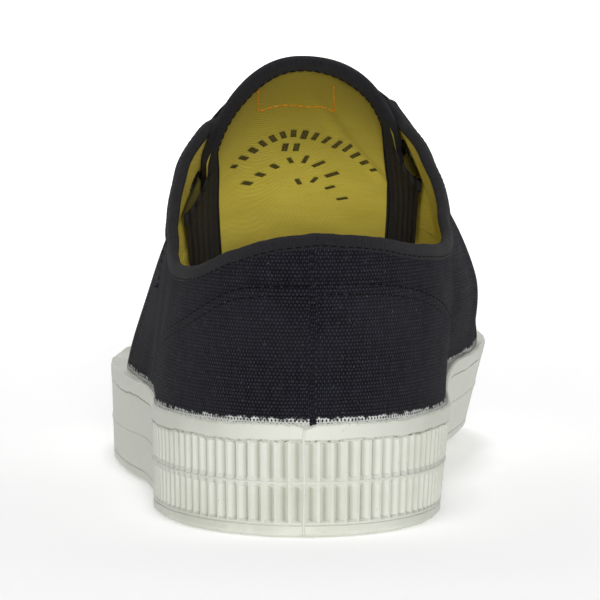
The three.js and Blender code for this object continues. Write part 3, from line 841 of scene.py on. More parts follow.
def joined_sides(outer_grow, inner_grow, name, material, slot, replaces):
    """One closed sheet from the lateral and the medial grid, which share the heel and toe columns."""
    columns = UP_STEPS + 1
    rows = 2 * ALONG_STEPS
    order = [(1, i) for i in range(ALONG_STEPS + 1)]
    order += [(-1, i) for i in range(ALONG_STEPS - 1, 0, -1)]
    grids = {(side, grow): upper_grid(side, grow)
             for side in (1, -1) for grow in (outer_grow, inner_grow)}
    outer = np.array([grids[side, outer_grow][i] for side, i in order])
    inner = np.array([grids[side, inner_grow][i] for side, i in order])
    whole = np.array([UPPER[side]["top"][i] >= 1.0 for side, i in order])
    count = rows * columns
    faces = grid_faces(rows, columns, closed_rows=True)
    faces += [face[::-1] for face in grid_faces(rows, columns, count, closed_rows=True)]
    for i in range(rows):
        k = (i + 1) % rows
        faces.append((i * columns, k * columns, count + k * columns, count + i * columns))
        if not (whole[i] and whole[k]):
            a, b = i * columns + UP_STEPS, k * columns + UP_STEPS
            faces.append((b, a, count + a, count + b))
    points = np.concatenate((outer.reshape(-1, 3), inner.reshape(-1, 3)))
    maps = upper_maps(order, outer)
    piece = make_piece(name, points, faces, material, slot, replaces,
                       maps={key: both_faces(value) for key, value in maps.items()})
    close_ridge(piece)
    return piece


def upper_maps(order, outer):
    """Cloth: millimetres along and up the quarter, or across and along the vamp.  Rim: along, above."""
    side = np.array([s for s, _ in order], float)[:, None]
    at = distance_of(outer)
    z = outer[..., 2]
    up_length = arc_lengths(outer, axis=1)
    from_top = up_length[:, -1:] - up_length
    middle = outer[:, UP_STEPS // 3]
    steps = np.linalg.norm(np.diff(np.concatenate((middle, middle[:1])), axis=0), axis=-1)
    run = np.concatenate(([0], np.cumsum(steps)[:-1]))
    around = np.where(side[:, 0] > 0, run, run - np.sum(steps))[:, None] * np.ones_like(z)
    vamp = at > front_seam(z)
    u = np.where(vamp, side * from_top, around)
    v = np.where(vamp, at, z)
    rim = np.where(side > 0, rim_height(at, 1), rim_height(at, -1))
    return {
        "Cloth": flat_map(u, v),
        "Rim": flat_map(around, z - rim),
    }


def close_ridge(piece):
    """Joins the two sides where they meet on the vamp's ridge, at the heel and at the toe."""
    work = bmesh.new()
    work.from_mesh(piece.data)
    bmesh.ops.remove_doubles(work, verts=work.verts, dist=2e-6)
    bmesh.ops.recalc_face_normals(work, faces=work.faces)
    work.to_mesh(piece.data)
    work.free()


def make_upper():
    joined_sides(WALL, WALL - CANVAS_THICKNESS, "upper_canvas", CANVAS, "canvas", ("upper",))
    joined_sides(LINING_THICKNESS, 0.0, "upper_lining", TWILL, "twill", ("upper",))


# ---------------------------------------------------------------- lines on the upper

def from_toe_and_back(side):
    """Slice that turns the lateral side round and leaves out the medial side's shared first place."""
    return slice(None, None, -1) if side > 0 else slice(1, None)


def edge_path():
    """The upper's top edge: from the throat's end, round the lateral ear, the collar and back."""
    outer, inner, below = [], [], []
    for side in (1, -1):
        open_top = UPPER[side]["top"] < 1.0
        grid = upper_grid(side, WALL)[open_top]
        lining = upper_grid(side, 0.0)[open_top]
        part = from_toe_and_back(side)
        outer.append(grid[part, -1])
        inner.append(lining[part, -1])
        below.append(grid[part, -4])
    outer, inner, below = (np.concatenate(part) for part in (outer, inner, below))
    return [smooth_path(line) for line in evenly(outer, 1.1, inner, below)]


def smooth_path(points, rounds=3):
    for _ in range(rounds):
        points = points.copy()
        points[1:-1] = (points[:-2] + 2 * points[1:-1] + points[2:]) / 4
    return points


def edge_frames():
    """Middle of the edge, direction into the cloth, outward normal."""
    outer, inner, below = edge_path()
    middle = (outer + inner) / 2
    tangent = unit(np.gradient(middle, axis=0))
    normal = unit(outer - inner)
    normal = unit(normal - tangent * np.sum(normal * tangent, axis=-1, keepdims=True))
    into = np.cross(tangent, normal)
    sign = np.sign(np.sum(into * (below - outer), axis=-1, keepdims=True))
    into = unit(smooth_path(into * sign, 6))
    return middle, into, unit(smooth_path(normal, 6))


TAPE_THICKNESS = 0.75
TAPE_AROUND = 22.0              # width of the tape's cloth map, all round its section
STITCH_INSET = 0.9              # from the binding's inner edge
BINDING_WIDTH = 3.1
BINDING_HALF = 1.45             # half thickness of the bound edge


def binding_profile(width, half):
    """Section of a tape folded over an edge: outside round the fold, then back inside it."""
    outside = [(width, half - 0.55), (width - 0.25, half - 0.12), (width - 0.9, half),
               (width * 0.5, half + 0.05), (0.3, half)]
    fold = [(0.3 - half * math.sin(turn), half * math.cos(turn))
            for turn in np.radians((25, 50, 75, 105, 130, 155))]
    back = [(x, -y) for x, y in reversed(outside)]
    inner_half = half - TAPE_THICKNESS
    inside = [(width, -inner_half), (0.2, -inner_half), (-0.35, 0.0), (0.2, inner_half),
              (width, inner_half)]
    return outside + fold + back + inside


def bind_edge(name, replaces, path, lengths, into, normal, width, half):
    """A folded tape along an edge, with its cloth map in millimetres along and around it."""
    points, faces, (_, columns) = sweep(path, into, normal, binding_profile(width, half))
    cloth = flat_map(lengths[:, None], np.linspace(0, TAPE_AROUND, columns)[None, :])
    make_piece(name, points, faces, TAPE, "tape", replaces, maps={"Cloth": cloth})


def make_binding():
    middle, into, normal = edge_frames()
    lengths = arc_lengths(middle)
    uneven = wave(lengths, (0.07, 23.0, 0.3), (0.05, 9.0, 1.1), (0.04, 4.7, 2.0))[:, None]
    middle = middle + into * uneven
    bind_edge("collar_binding", ("upper",), middle, lengths, into, normal, BINDING_WIDTH, BINDING_HALF)
    outer_row = middle + into * (BINDING_WIDTH - STITCH_INSET) + normal * BINDING_HALF
    inner_row = middle + into * (BINDING_WIDTH - STITCH_INSET) - normal * BINDING_HALF
    thread = Stitching()
    thread.row(outer_row, normal, pitch=2.3, length=1.7, radius=0.16, sink=0.09)
    thread.row(inner_row, -normal, pitch=2.3, length=1.7, radius=0.2)
    thread.build("binding_stitches", BLACK_THREAD)


def line_on_upper(side, reach, height_at, grow):
    """A line from the heel at a height that depends on the place along the shoe, with its normals."""
    along = np.linspace(0.0, reach, 160)
    ups = highest_up(along, side, grow, below_height(height_at))
    points = last_along(along, ups, side, grow)
    nudge = last_along(along, np.minimum(ups + 0.01, 1.0), side, grow) - points
    tangent = np.gradient(points, axis=0)
    normals = unit(np.cross(tangent, nudge)) * -side
    return points, normals


COUNTER_PROUD = 0.6             # the panel stands this far out from the upper
COUNTER_OUTSIDE = WALL + COUNTER_PROUD
COUNTER_END = 86.0
COUNTER_TUCKED_IN = 1.2         # hidden behind the sole's rim


def length_part(at, up):
    """A distance from the heel as a part of the last's length at one height part."""
    start = heel_end(up)
    return float((at - start) / (toe_end(up) - start))


def counter_grid(side, grow, rise):
    along = length_part(COUNTER_END, 0.2) * np.linspace(0, 1, 90) ** 1.3
    foot = highest_up(along, side, grow,
                      below_height(lambda at: side_column(SOLE, side, at, "_rim") - COUNTER_TUCKED_IN))
    top = highest_up(along, side, grow, below_height(lambda at: side_column(COUNTER, side, at)))
    top = np.maximum(top, foot + 0.004)
    ups = foot[:, None] + (top - foot)[:, None] * rise[None, :]
    return last_along(along[:, None], ups, side, grow)


def make_counter():
    """The stitched counter panel: a second layer of canvas round the heel with a soft edge."""
    rise = np.linspace(0, 1, 40)
    edge = smooth_step((1 - rise) * 14)[None, :, None]
    outer, inner = [], []
    for side in (1, -1):
        high = counter_grid(side, COUNTER_OUTSIDE, rise)
        low = counter_grid(side, WALL, rise)
        high = low + (high - low) * (0.35 + 0.65 * edge)
        part = from_toe_and_back(side)
        outer.append(high[part])
        inner.append(low[part])
    outer, inner = np.concatenate(outer), np.concatenate(inner)
    points, faces = shell(outer, inner)
    lengths = arc_lengths(outer[:, 5])
    middle = int(np.argmin(np.abs(distance_of(outer[:, 5]))))
    u = (lengths[middle] - lengths)[:, None]
    at = distance_of(outer)
    lateral = np.arange(outer.shape[0])[:, None] <= middle
    rim = np.where(lateral, rim_height(at, 1), rim_height(at, -1))
    maps = {"Cloth": both_faces(flat_map(u, outer[..., 2])),
            "Rim": both_faces(flat_map(u, outer[..., 2] - rim))}
    make_piece("heel_counter_panel", points, faces, CANVAS, "canvas", ("heel_counter",), maps=maps)


def make_counter_stitches():
    """Two rows of thread inside the counter's edge, each (inset, end)."""
    thread = Stitching()
    for inset, end in ((1.3, 84.0), (3.8, 81.0)):
        paths, normals = [], []
        for side in (1, -1):
            path, normal = line_on_upper(side, length_part(end, 0.4),
                                         lambda at: side_column(COUNTER, side, at) - inset,
                                         COUNTER_OUTSIDE)
            part = from_toe_and_back(side)
            paths.append(path[part])
            normals.append(normal[part])
        path = np.concatenate(paths)
        thread.row(path, outward(path, np.concatenate(normals)), radius=0.17, sink=0.14)
    thread.build("counter_stitches", BLACK_THREAD)


def outward(points, normals):
    """Normals turned away from the shoe's middle line."""
    middle = np.stack((np.full(len(points), -1.0), np.minimum(points[:, 1], HEEL_Y - HEEL_CAP),
                       points[:, 2]), -1)
    sign = np.sign(np.sum(normals * (points - middle), axis=-1, keepdims=True))
    return normals * np.where(sign == 0, 1, sign)


BACK_SEAM_X = -3.2
BACK_SEAM_WIDTH = 2.4
# (across, out): a welt on each side of the groove.
BACK_SEAM_SECTION = ((-1.1, -0.25), (-0.75, 0.16), (-0.3, 0.24), (-0.08, 0.02), (0.08, 0.02),
                     (0.3, 0.22), (0.75, 0.14), (1.1, -0.25))
BACK_SEAM_TOP = 72.5
COUNTER_TOP = 64.5             # at the back seam
EYELET_STITCH_SET_BACK = 15.5


def make_back_seam():
    """The closed seam up the back: a shallow welt of folded canvas with a fine groove."""
    z = np.linspace(rim_height(0.0, 1) - 1.0, BACK_SEAM_TOP, 60)
    feather = column(LAST, "feather_z", 0.0)
    ridge = column(LAST, "ridge_z", 0.0)
    points = []
    for height in z:
        up = (height - feather) / (ridge - feather)
        along = np.linspace(0, 0.03, 60)
        line = last_along(along, np.full(60, up), -1, WALL)
        points.append(line[np.argmin(np.abs(line[:, 0] - BACK_SEAM_X))])
    path = smooth_path(np.array(points), 4)
    path[:, 0] = BACK_SEAM_X + wave(z, (0.15, 33.0, 0.5))
    lift = np.tile((0.0, 1.0, 0.0), (len(path), 1))
    across = np.tile((1.0, 0.0, 0.0), (len(path), 1))
    base = np.where(z < COUNTER_TOP, COUNTER_PROUD, 0.0)
    base = np.convolve(np.pad(base, 2, mode="edge"), np.ones(5) / 5, mode="valid")
    path = path + lift * base[:, None]
    mesh_points, faces, (_, columns) = sweep(path, across, lift, BACK_SEAM_SECTION)
    cloth = flat_map(np.linspace(0, BACK_SEAM_WIDTH, columns)[None, :], z[:, None])
    make_piece("back_seam", mesh_points, faces, CANVAS_CLEAN, "canvas", ("upper",),
               maps={"Cloth": cloth})


def on_upper(at, up, side):
    """Points on the upper's outside, creases included, with outward normals."""
    step = 1e-2
    points = last_at(at, up, side, WALL)
    run = last_at(at + 1.0, up, side, WALL) - last_at(at - 1.0, up, side, WALL)
    rise = last_at(at, up + step, side, WALL) - last_at(at, up - step, side, WALL)
    normals = unit(np.cross(run, rise)) * side
    normals = normals * np.where(np.sum(normals * (side, 0, 0.3), axis=-1, keepdims=True) < 0, -1, 1)
    return points + creases(points, normals, side), normals


def make_quarter_stitches():
    """Two rows behind the quarter's front edge, and one row along the eyelets."""
    thread = Stitching()
    for side in (1, -1):
        for behind in (1.6, 4.0):
            up = np.linspace(0.42, 0.97, 140)
            z = last_at(np.full_like(up, 196.0), up, side, WALL)[:, 2]
            path, normals = on_upper(front_seam(z) - behind, up, side)
            thread.row(path, normals, radius=0.2)
        at = np.linspace(114.0, 187.0, 160)
        x = side * (side_column(THROAT, side, at) + EYELET_STITCH_SET_BACK)
        path = top_points(x, at, WALL)
        thread.row(path, upper_normal(x, at), radius=0.2, sink=-0.1)
    thread.build("quarter_stitches", BLACK_THREAD)


# ---------------------------------------------------------------- sole

RIB_PITCH = 3.65
RIB_CREST = 0.8
RIB_DEPTH = 1.2
HEEL_RIBS_END = 58.0            # distance from the heel where the ribs stop
TOE_RIBS_START = 246.0
PLAIN_STEP = 2.4
PLAN_HEIGHT = 14.0              # level at which the sole's outline is measured
FOOT_RAGGED = 0.22              # size of the flash along the foot of the wall
SHARP_FROM = 26.0               # degrees between faces: shaded sharp ...
BEVEL_FROM = 24.0               # ... and rounded
EDGE_ROUND = 0.16
LONGEST_RUN = 500.0             # longer than either side of the sole
NOTCH_DEPTH = 1.3               # the torn notch in the rim behind the heel
NOTCH_WIDTH = 1.6
NOTCH_ASIDE = 0.8
HOLLOW_CLEARANCE = 0.25         # between the rubber and the upper that stands in it


def sole_wall(along, side, z):
    """Points of the sole's side wall at heights z."""
    at = SHOE_LENGTH * along
    half = side_column(SOLE, side, at) - sole_tuck(at, side, z)
    cap = outline_cap(at, 0.0, SHOE_LENGTH)
    x = column(SOLE, "centre", at) + side * half * cap
    return np.stack((x, HEEL_Y - at, z * np.ones_like(at)), axis=-1)


def rib_stations(side):
    """Places along one side as parts of the length, the groove's depth at each, and the run to each."""
    fine = denser_at_ends(4001)
    line = sole_wall(fine, side, PLAN_HEIGHT)
    lengths = arc_lengths(line)
    at = distance_of(line)
    total = lengths[-1]
    heel_length = np.interp(HEEL_RIBS_END, at, lengths)
    toe_length = np.interp(TOE_RIBS_START, at, lengths)
    places, depths = [], []

    def rib(centre, direction):
        for offset, depth in ((-RIB_CREST / 2, 0.0), (RIB_CREST / 2, 0.0), (RIB_PITCH / 2, 1.0)):
            places.append(centre + direction * offset)
            depths.append(depth)

    heel_count = int(heel_length / RIB_PITCH)
    for k in range(heel_count):
        rib(k * RIB_PITCH, 1)
    toe_count = int((total - toe_length) / RIB_PITCH)
    start = heel_count * RIB_PITCH - RIB_CREST / 2
    end = total - toe_count * RIB_PITCH + RIB_CREST / 2
    for place in np.linspace(start, end, int((end - start) / PLAIN_STEP)):
        places.append(place)
        depths.append(0.0)
    for k in range(toe_count - 1, -1, -1):
        rib(total - k * RIB_PITCH, -1)
    order = np.argsort(places)
    places, depths = np.array(places)[order], np.array(depths)[order]
    keep = (places > 0.05) & (places < total - 0.05)
    places = np.concatenate(([0.0], places[keep], [total]))
    depths = np.concatenate(([0.0], depths[keep], [0.0]))
    return np.interp(places, lengths, fine), depths, places


# Each level of the side wall: its height is a base line plus an offset; "out" is how far it stands
# proud, and "rib" how much of the groove's depth it has.
SOLE_LEVELS = (
    ("foot", -0.55, -1.1, 0.0), ("foot", 0.0, -0.35, 0.0), ("foot", 0.7, 0.0, 0.0),
    ("foot", 2.2, 0.0, 0.0), ("foot", 2.45, -0.3, 0.0), ("foot", 2.75, -0.02, 0.0),
    ("foot", 3.1, 0.0, 0.0), ("foot", 3.7, 0.0, 1.0), ("mid", -1.35, 0.0, 1.0),
    ("mid", -0.3, 0.0, 0.0), ("mid", -0.2, 0.2, 0.0), ("mid", 0.15, 0.22, 0.0),
    ("mid", 0.3, 0.0, 0.0), ("mid", 1.35, 0.0, 1.0), ("rim", -5.0, 0.0, 1.0),
    ("rim", -4.45, 0.0, 0.0), ("rim", -4.2, -0.35, 0.0), ("rim", -3.9, 0.12, 0.0),
    ("rim", -1.2, 0.08, 0.0), ("rim", -0.4, -0.1, 0.0), ("rim", 0.0, -0.7, 0.0),
)


def ragged_line(run, step, seed):
    """A line from -1 to 1 with a corner at every step along the run."""
    corners = np.arange(0, LONGEST_RUN, step)
    return np.interp(run, corners, rough_noise(len(corners), seed))


def rim_uneven(run, seed):
    """The rim's own unevenness: slow waves and small nicks."""
    return wave(run, (0.18, 41.0, 0.2), (0.12, 13.0, 1.7)) + 0.16 * ragged_line(run, 1.3, seed)


def make_sole():
    stations = {side: rib_stations(side) for side in (1, -1)}

    def ring(build):
        lateral = build(1, *stations[1])
        medial = build(-1, *stations[-1])
        return np.concatenate((lateral, medial[-2:0:-1]))

    def level(base, offset, out, rib):
        def build(side, along, depth, run):
            z = side_column(SOLE, side, SHOE_LENGTH * along, "_" + base) + offset
            if base == "rim":
                z = z - RIM_DROP
            if base == "rim" and offset > -2.0:
                notch = NOTCH_DEPTH * np.exp(-((run + side * NOTCH_ASIDE) / NOTCH_WIDTH) ** 2)
                z = z + rim_uneven(run, 5 + side) * (1 + offset / 2.0) - notch
            elif base == "rim":
                z = z + wave(run, (0.22, 37.0, side), (0.14, 11.0, 0.3), (0.08, 5.3, 2.0))
            shift = out - RIB_DEPTH * rib * depth
            if base == "foot" and offset < 1.0:
                shift = shift + FOOT_RAGGED * ragged_line(run, 1.7, 8 + side)
            return sole_wall(along, side, z) + outline_normal(side, along) * np.asarray(shift)[..., None]
        return build

    rings = tread_rings(ring)
    for base, offset, out, rib in SOLE_LEVELS:
        rings.append(ring(level(base, offset, out, rib)))
    rings.append(ring(hollow_ring(-0.2, 0.1)))
    rings.append(ring(hollow_ring(-5.0, HOLLOW_CLEARANCE)))
    floor = ring(floor_edge)
    rings.append(floor)
    rings.append(onto_centre(floor, LAST))
    points = np.array(rings)
    rows, columns = points.shape[:2]
    faces = grid_faces(rows, columns, closed_columns=True)
    run = np.concatenate((stations[1][2], -stations[-1][2][-2:0:-1]))
    cut = np.concatenate((stations[1][1], stations[-1][1][-2:0:-1]))
    rib = np.zeros(rows)
    rib[2:2 + len(SOLE_LEVELS)] = [row[3] for row in SOLE_LEVELS]
    at = distance_of(points)
    rim = np.where(np.arange(columns) < len(stations[1][2]), rim_height(at, 1), rim_height(at, -1))
    maps = {
        "Groove": flat_map(rib[:, None] * cut[None, :], 0.0),
        "Rim": flat_map(run[None, :], points[..., 2] - rim),
    }
    piece = make_piece("rubber_sole", points.reshape(-1, 3), faces, RUBBER, "rubber", ("sole",),
                       maps=maps)
    close_ridge(piece)
    mark_sharp(piece.data, SHARP_FROM)
    bevel = piece.modifiers.new("soft_edges", "BEVEL")
    bevel.width = EDGE_ROUND * MM
    bevel.segments = 2
    bevel.limit_method = "ANGLE"
    bevel.angle_limit = math.radians(BEVEL_FROM)
    bevel.harden_normals = False


def outline_normal(side, along):
    """Outward direction of the sole's outline in plan."""
    step = 1e-3
    ahead = sole_wall(np.clip(along + step, 0, 1), side, PLAN_HEIGHT)
    behind = sole_wall(np.clip(along - step, 0, 1), side, PLAN_HEIGHT)
    run = unit(ahead - behind)
    normal = np.stack((run[:, 1], -run[:, 0], np.zeros(len(run))), -1) * -side
    normal[0] = (0.0, 1.0, 0.0)
    normal[-1] = (0.0, -1.0, 0.0)
    return normal


def onto_centre(ring, table):
    """The same ring pressed flat onto the middle line, which closes a sheet without a fan."""
    pressed = ring.copy()
    pressed[:, 0] = column(table, "centre", distance_of(ring))
    return pressed


def hollow_ring(below_rim, clearance):
    def build(side, along, depth, run):
        inner = last_along(along, np.full_like(along, 0.15), side, WALL + clearance)
        at = distance_of(inner)
        z = rim_height(at, side) + below_rim
        feather = column(LAST, "feather_z", at) - WALL
        ridge = column(LAST, "ridge_z", at) + WALL
        return last_along(along, (z - feather) / (ridge - feather), side, WALL + clearance)
    return build


def floor_edge(side, along, depth, run):
    return last_along(along, np.zeros_like(along), side, WALL + HOLLOW_CLEARANCE)


TREAD_START = 3.0
TREAD_END = 226.0
TREAD_TOE_CENTRE = 170.0


def tread_rings(ring):
    def edge(side, along, depth, run):
        at = TREAD_START + (TREAD_END - TREAD_START) * along
        name = side_name(side)
        inset = 2.5 + 1.6 * column(SOLE, name + "_foot", at)
        half = column(SOLE, name, at) - column(SOLE, name + "_tuck", at) - inset
        heel = superellipse((HEEL_CAP - np.minimum(at, HEEL_CAP)) / (HEEL_CAP - TREAD_START), HEEL_POWER)
        toe = superellipse((np.maximum(at, TREAD_TOE_CENTRE) - TREAD_TOE_CENTRE)
                           / (TREAD_END - TREAD_TOE_CENTRE), 2.6)
        x = column(SOLE, "centre", at) + side * half * heel * toe
        hollow = 1.6 * smooth_step((at - 92) / 20) * smooth_step((158 - at) / 20)
        return np.stack((x, HEEL_Y - at, hollow), -1)

    outer = ring(edge)
    return [onto_centre(outer, SOLE), outer]


MOULD_LINE_X = -1.0
MOULD_LINE_SECTION = ((-0.5, -0.3), (-0.42, 0.35), (-0.15, 0.55), (0.15, 0.55), (0.42, 0.35),
                      (0.5, -0.3))


def make_mould_line():
    """Thin raised line left by the mould up the back of the sole."""
    steps = 40
    z = np.linspace(0.6, 27.5, steps)
    x = MOULD_LINE_X + wave(z, (0.1, 19.0, 0.3))
    path = np.stack((x, np.full(steps, HEEL_Y - 0.15), z), -1)
    size = 0.75 + 0.25 * np.abs(rough_noise(steps, 3))[:, None]
    points, faces, _ = sweep(path, size * (1.0, 0.0, 0.0), size * (0.0, 1.0, 0.0), MOULD_LINE_SECTION)
    make_piece("mould_line", points, faces, RUBBER, "rubber", ("sole",))


# ---------------------------------------------------------------- tongue

TONGUE_TOP = 108.0
TONGUE_FOOT = 205.0
TONGUE_CORNER = 7.5
TONGUE_BINDING_WIDTH = 4.3
FOLD_START = 122.0              # the fold leaves the middle here and runs towards the toe
FOLD_SLOPE = 1.5
FOLD_HEIGHT = 1.2
FOLD_WIDTH = 3.8
HOLLOW_DEPTH = 0.7


def tongue_half(at, side):
    """Half width of the tongue, with round corners at its top."""
    into = np.clip((at - TONGUE_TOP) / TONGUE_CORNER, 0, 1)
    return column(TONGUE, side_name(side), at) - TONGUE_CORNER * (1 - np.sqrt(1 - (1 - into) ** 2))


def tongue_bend(x, at):
    """Soft diagonal fold on the medial half and a shallow hollow down the middle."""
    from_fold = at - FOLD_START - FOLD_SLOPE * np.maximum(0, -x - 2)
    fold = FOLD_HEIGHT * np.exp(-(from_fold / FOLD_WIDTH) ** 2) * smooth_step((-x - 1) / 8)
    hollow = HOLLOW_DEPTH * np.exp(-((at - 165) / 20) ** 2 - (x / 14) ** 2)
    return fold - hollow + wave(at + x, (0.12, 27.0, 0.4))


def tongue_points(x, at, grow):
    points = top_points(x, at, grow)
    points[..., 2] += tongue_bend(x, at)
    return points


def tongue_grid(grow, shrink=0.0):
    """Points over the tongue's outline, which may be shrunk, and each point's x."""
    rows, columns = 150, 61
    at = np.linspace(TONGUE_TOP + shrink, TONGUE_FOOT, rows)[:, None] * np.ones((1, columns))
    part = np.linspace(-1, 1, columns)[None, :]
    half = np.where(part > 0, tongue_half(at, 1), tongue_half(at, -1)) - shrink
    x = part * half
    return tongue_points(x, at, grow), x


def tongue_piece(name, high, low, material, slot):
    outer, x = tongue_grid(high)
    inner, _ = tongue_grid(low)
    points, faces = shell(outer, inner)
    run = arc_lengths(outer, axis=0)
    piece = make_piece(name, points, faces, material, slot, ("tongue",),
                       maps={"Cloth": both_faces(flat_map(x, run))})
    close_ridge(piece)


def make_tongue():
    top = -TONGUE_DROP
    under = -TONGUE_DROP - TONGUE_THICKNESS
    tongue_piece("tongue_canvas", top, top - 1.0, CANVAS_CLEAN, "canvas")
    tongue_piece("tongue_lining", top - 1.2, under, TONGUE_TWILL, "twill")
    outline, into, normal = tongue_outline()
    half = TONGUE_THICKNESS / 2 + 0.55
    bind_edge("tongue_binding", ("tongue",), outline, arc_lengths(outline), into, normal,
              TONGUE_BINDING_WIDTH, half)
    thread = Stitching()
    for sign in (1, -1):
        row = outline + into * (TONGUE_BINDING_WIDTH - STITCH_INSET) + normal * half * sign
        thread.row(row, normal * sign, pitch=2.3, length=1.7, radius=0.2)
    thread.build("tongue_stitches", BLACK_THREAD)


def tongue_outline():
    """Edge of the tongue, up one side, over the top and down the other."""
    middle_grow = -TONGUE_DROP - TONGUE_THICKNESS / 2
    def border(shrink):
        grid, _ = tongue_grid(middle_grow, shrink=shrink)
        return np.concatenate((grid[::-1, 0], grid[0, 1:-1], grid[:, -1]))
    path, inside = [smooth_path(line, 5) for line in evenly(border(0.0), 1.2, border(3.0))]
    tangent = unit(np.gradient(path, axis=0))
    into = inside - path
    into = unit(into - tangent * np.sum(into * tangent, axis=-1, keepdims=True))
    normal = np.cross(into, tangent)
    normal = normal * np.where(normal[:, 2:] < 0, -1, 1)
    return path, unit(smooth_path(into, 5)), unit(smooth_path(normal, 5))


def tongue_line(places, count=60):
    """A line on the tongue's inner face through (x, at) places, with normals that face inwards."""
    places = np.array(places, float)
    t = np.linspace(0, len(places) - 1, count)
    x = np.interp(t, np.arange(len(places)), places[:, 0])
    at = np.interp(t, np.arange(len(places)), places[:, 1])
    grow = -TONGUE_DROP - TONGUE_THICKNESS
    points = tongue_points(x, at, grow)
    ahead = tongue_points(x, at + 0.5, grow)
    aside = tongue_points(x + 0.5, at, grow)
    normals = unit(np.cross(aside - points, ahead - points))
    return points, normals * np.where(normals[:, 2:] > 0, -1, 1)


# Corners (x, at) of the label's stitched outline, which is open at the top.
LABEL_CORNERS = ((11.5, 112.5), (11.5, 124.0), (-9.5, 128.0), (-9.2, 116.0))
STAMP_WIDTH = 1.6
STAMP_HEIGHT = 3.8
# Arcs of plain blocks: places (x, at) along the arc, and how many blocks stand on it.
STAMP_ARCS = (
    (((18.5, 140), (11, 137), (3, 135.5), (-5.5, 137), (-14, 142), (-21, 151)), 15),
    (((4.2, 141), (1.0, 141.5)), 2),
    (((15, 155), (10.5, 152), (5.5, 148), (0, 146.5), (-4.5, 148.5), (-9, 155)), 7),
    (((0.5, 158.5), (-4, 157.5), (-8.5, 162), (-12, 169)), 4),
)


def make_tongue_marks():
    """Stitched outline of the outer label, and a plain stamp of short strokes in arcs."""
    box = Stitching()
    for start, end in zip(LABEL_CORNERS, LABEL_CORNERS[1:]):
        path, normals = tongue_line((start, end))
        box.row(path, normals, pitch=2.2, length=1.8, radius=0.24, sink=0.02)
    box.build("label_stitches", ORANGE_THREAD)
    points, faces = [], []
    for places, count in STAMP_ARCS:
        path, normals = tongue_line(places, count)
        run = unit(np.gradient(path, axis=0))
        across = unit(np.cross(normals, run))
        size = 1 + 0.18 * rough_noise(count, 21 + count)
        for k in range(count):
            base = len(points)
            for a, b in ((-1, -1), (1, -1), (1, 1), (-1, 1)):
                points.append(path[k] + run[k] * a * STAMP_WIDTH * size[k] / 2
                              + across[k] * b * STAMP_HEIGHT * size[-k - 1] / 2 + normals[k] * 0.2)
            faces.append((base, base + 1, base + 2, base + 3))
    make_piece("stamp_marks", points, faces, STAMP_INK, "twill")


# ---------------------------------------------------------------- gussets, insole

GUSSET_FROM = 123.0
GUSSET_TO = 196.0
GUSSET_REACH = {1: 32.0, -1: 33.5}      # half width at the quarters, lateral and medial


def make_gussets():
    """Ribbed elastic between the tongue's edges and the quarters."""
    rows, columns = 80, 16
    for side in (1, -1):
        at = np.linspace(GUSSET_FROM, GUSSET_TO, rows)[:, None] * np.ones((1, columns))
        part = np.linspace(0, 1, columns)[None, :]
        inner_edge = tongue_half(at, side) - 2.5
        x = side * (inner_edge + (GUSSET_REACH[side] - inner_edge) * part)
        sag = 1.6 * np.sin(np.pi * part)
        grow = -(3.0 * (1 - part) + 0.9 * part) - sag
        outer = sheet_points(x, at, grow)
        inner = sheet_points(x, at, grow - 1.0)
        points, faces = shell(outer, inner)
        make_piece(f"gusset_{side_name(side)}", points, faces, ELASTIC, "elastic", ("tongue",),
                   maps={"Cloth": both_faces(flat_map(at, part * 9.0))})


def sheet_points(x, at, grow):
    """Top points at a growth that changes over the grid, from two whole growths."""
    near = top_points(x, at, 0.0)
    far = top_points(x, at, -6.0)
    part = (-grow / 6.0)[..., None]
    return near + (far - near) * part


# Rings of the insole, from its underside round the rolled edge to the middle of its top: how far each
# is set in from the last's edge, and how high it stands over the feather edge.
INSOLE_RINGS = ((3.0, 0.35), (0.75, 0.35), (0.6, 1.6), (0.9, 2.7), (2.2, 3.3), (6.0, 3.2),
                (14.0, 2.9), (24.0, 2.8))
INSOLE_STEPS = 240


def make_insole():
    """Cushioned insole: a thin board covered with twill, its edge rolled down."""
    along = denser_at_ends(INSOLE_STEPS)
    rings = []
    for inset, rise in INSOLE_RINGS:
        ring = []
        for side in (1, -1):
            points = last_along(along, np.zeros(INSOLE_STEPS), side, -inset)
            points[:, 2] = column(LAST, "feather_z", distance_of(points)) + rise
            ring.append(points if side > 0 else points[-2:0:-1])
        rings.append(np.concatenate(ring))
    points = np.array([onto_centre(rings[0], LAST), *rings, onto_centre(rings[-1], LAST)])
    count, columns = points.shape[:2]
    faces = grid_faces(count, columns, closed_columns=True)
    flat = points.reshape(-1, 3)
    make_piece("insole_cover", flat, faces, TWILL, "twill", ("insole",), maps={"Cloth": flat[:, :2]})


# ---------------------------------------------------------------- eyelets and lace

def eyelet_places():
    for side in (1, -1):
        for row, at in enumerate(EYELET_ROWS):
            x = side * (float(side_column(THROAT, side, at)) + EYELET_SET_BACK)
            yield side, row, x, float(at)


def upper_normal(x, at):
    aside = top_points(x + 1, at, WALL) - top_points(x - 1, at, WALL)
    back = top_points(x, at - 1, WALL) - top_points(x, at + 1, WALL)
    return unit(np.cross(aside, back))


# Section of an eyelet: (radius, height over the canvas), from the bore over the roll and back down.
EYELET_SECTION = ((2.2, -2.7), (2.25, 0.5), (2.5, 0.95), (3.0, 1.15), (3.6, 1.05), (4.2, 0.7),
                  (4.4, 0.35), (4.2, 0.12), (2.95, 0.05), (2.9, -2.7))
EYELET_TURNS = 40


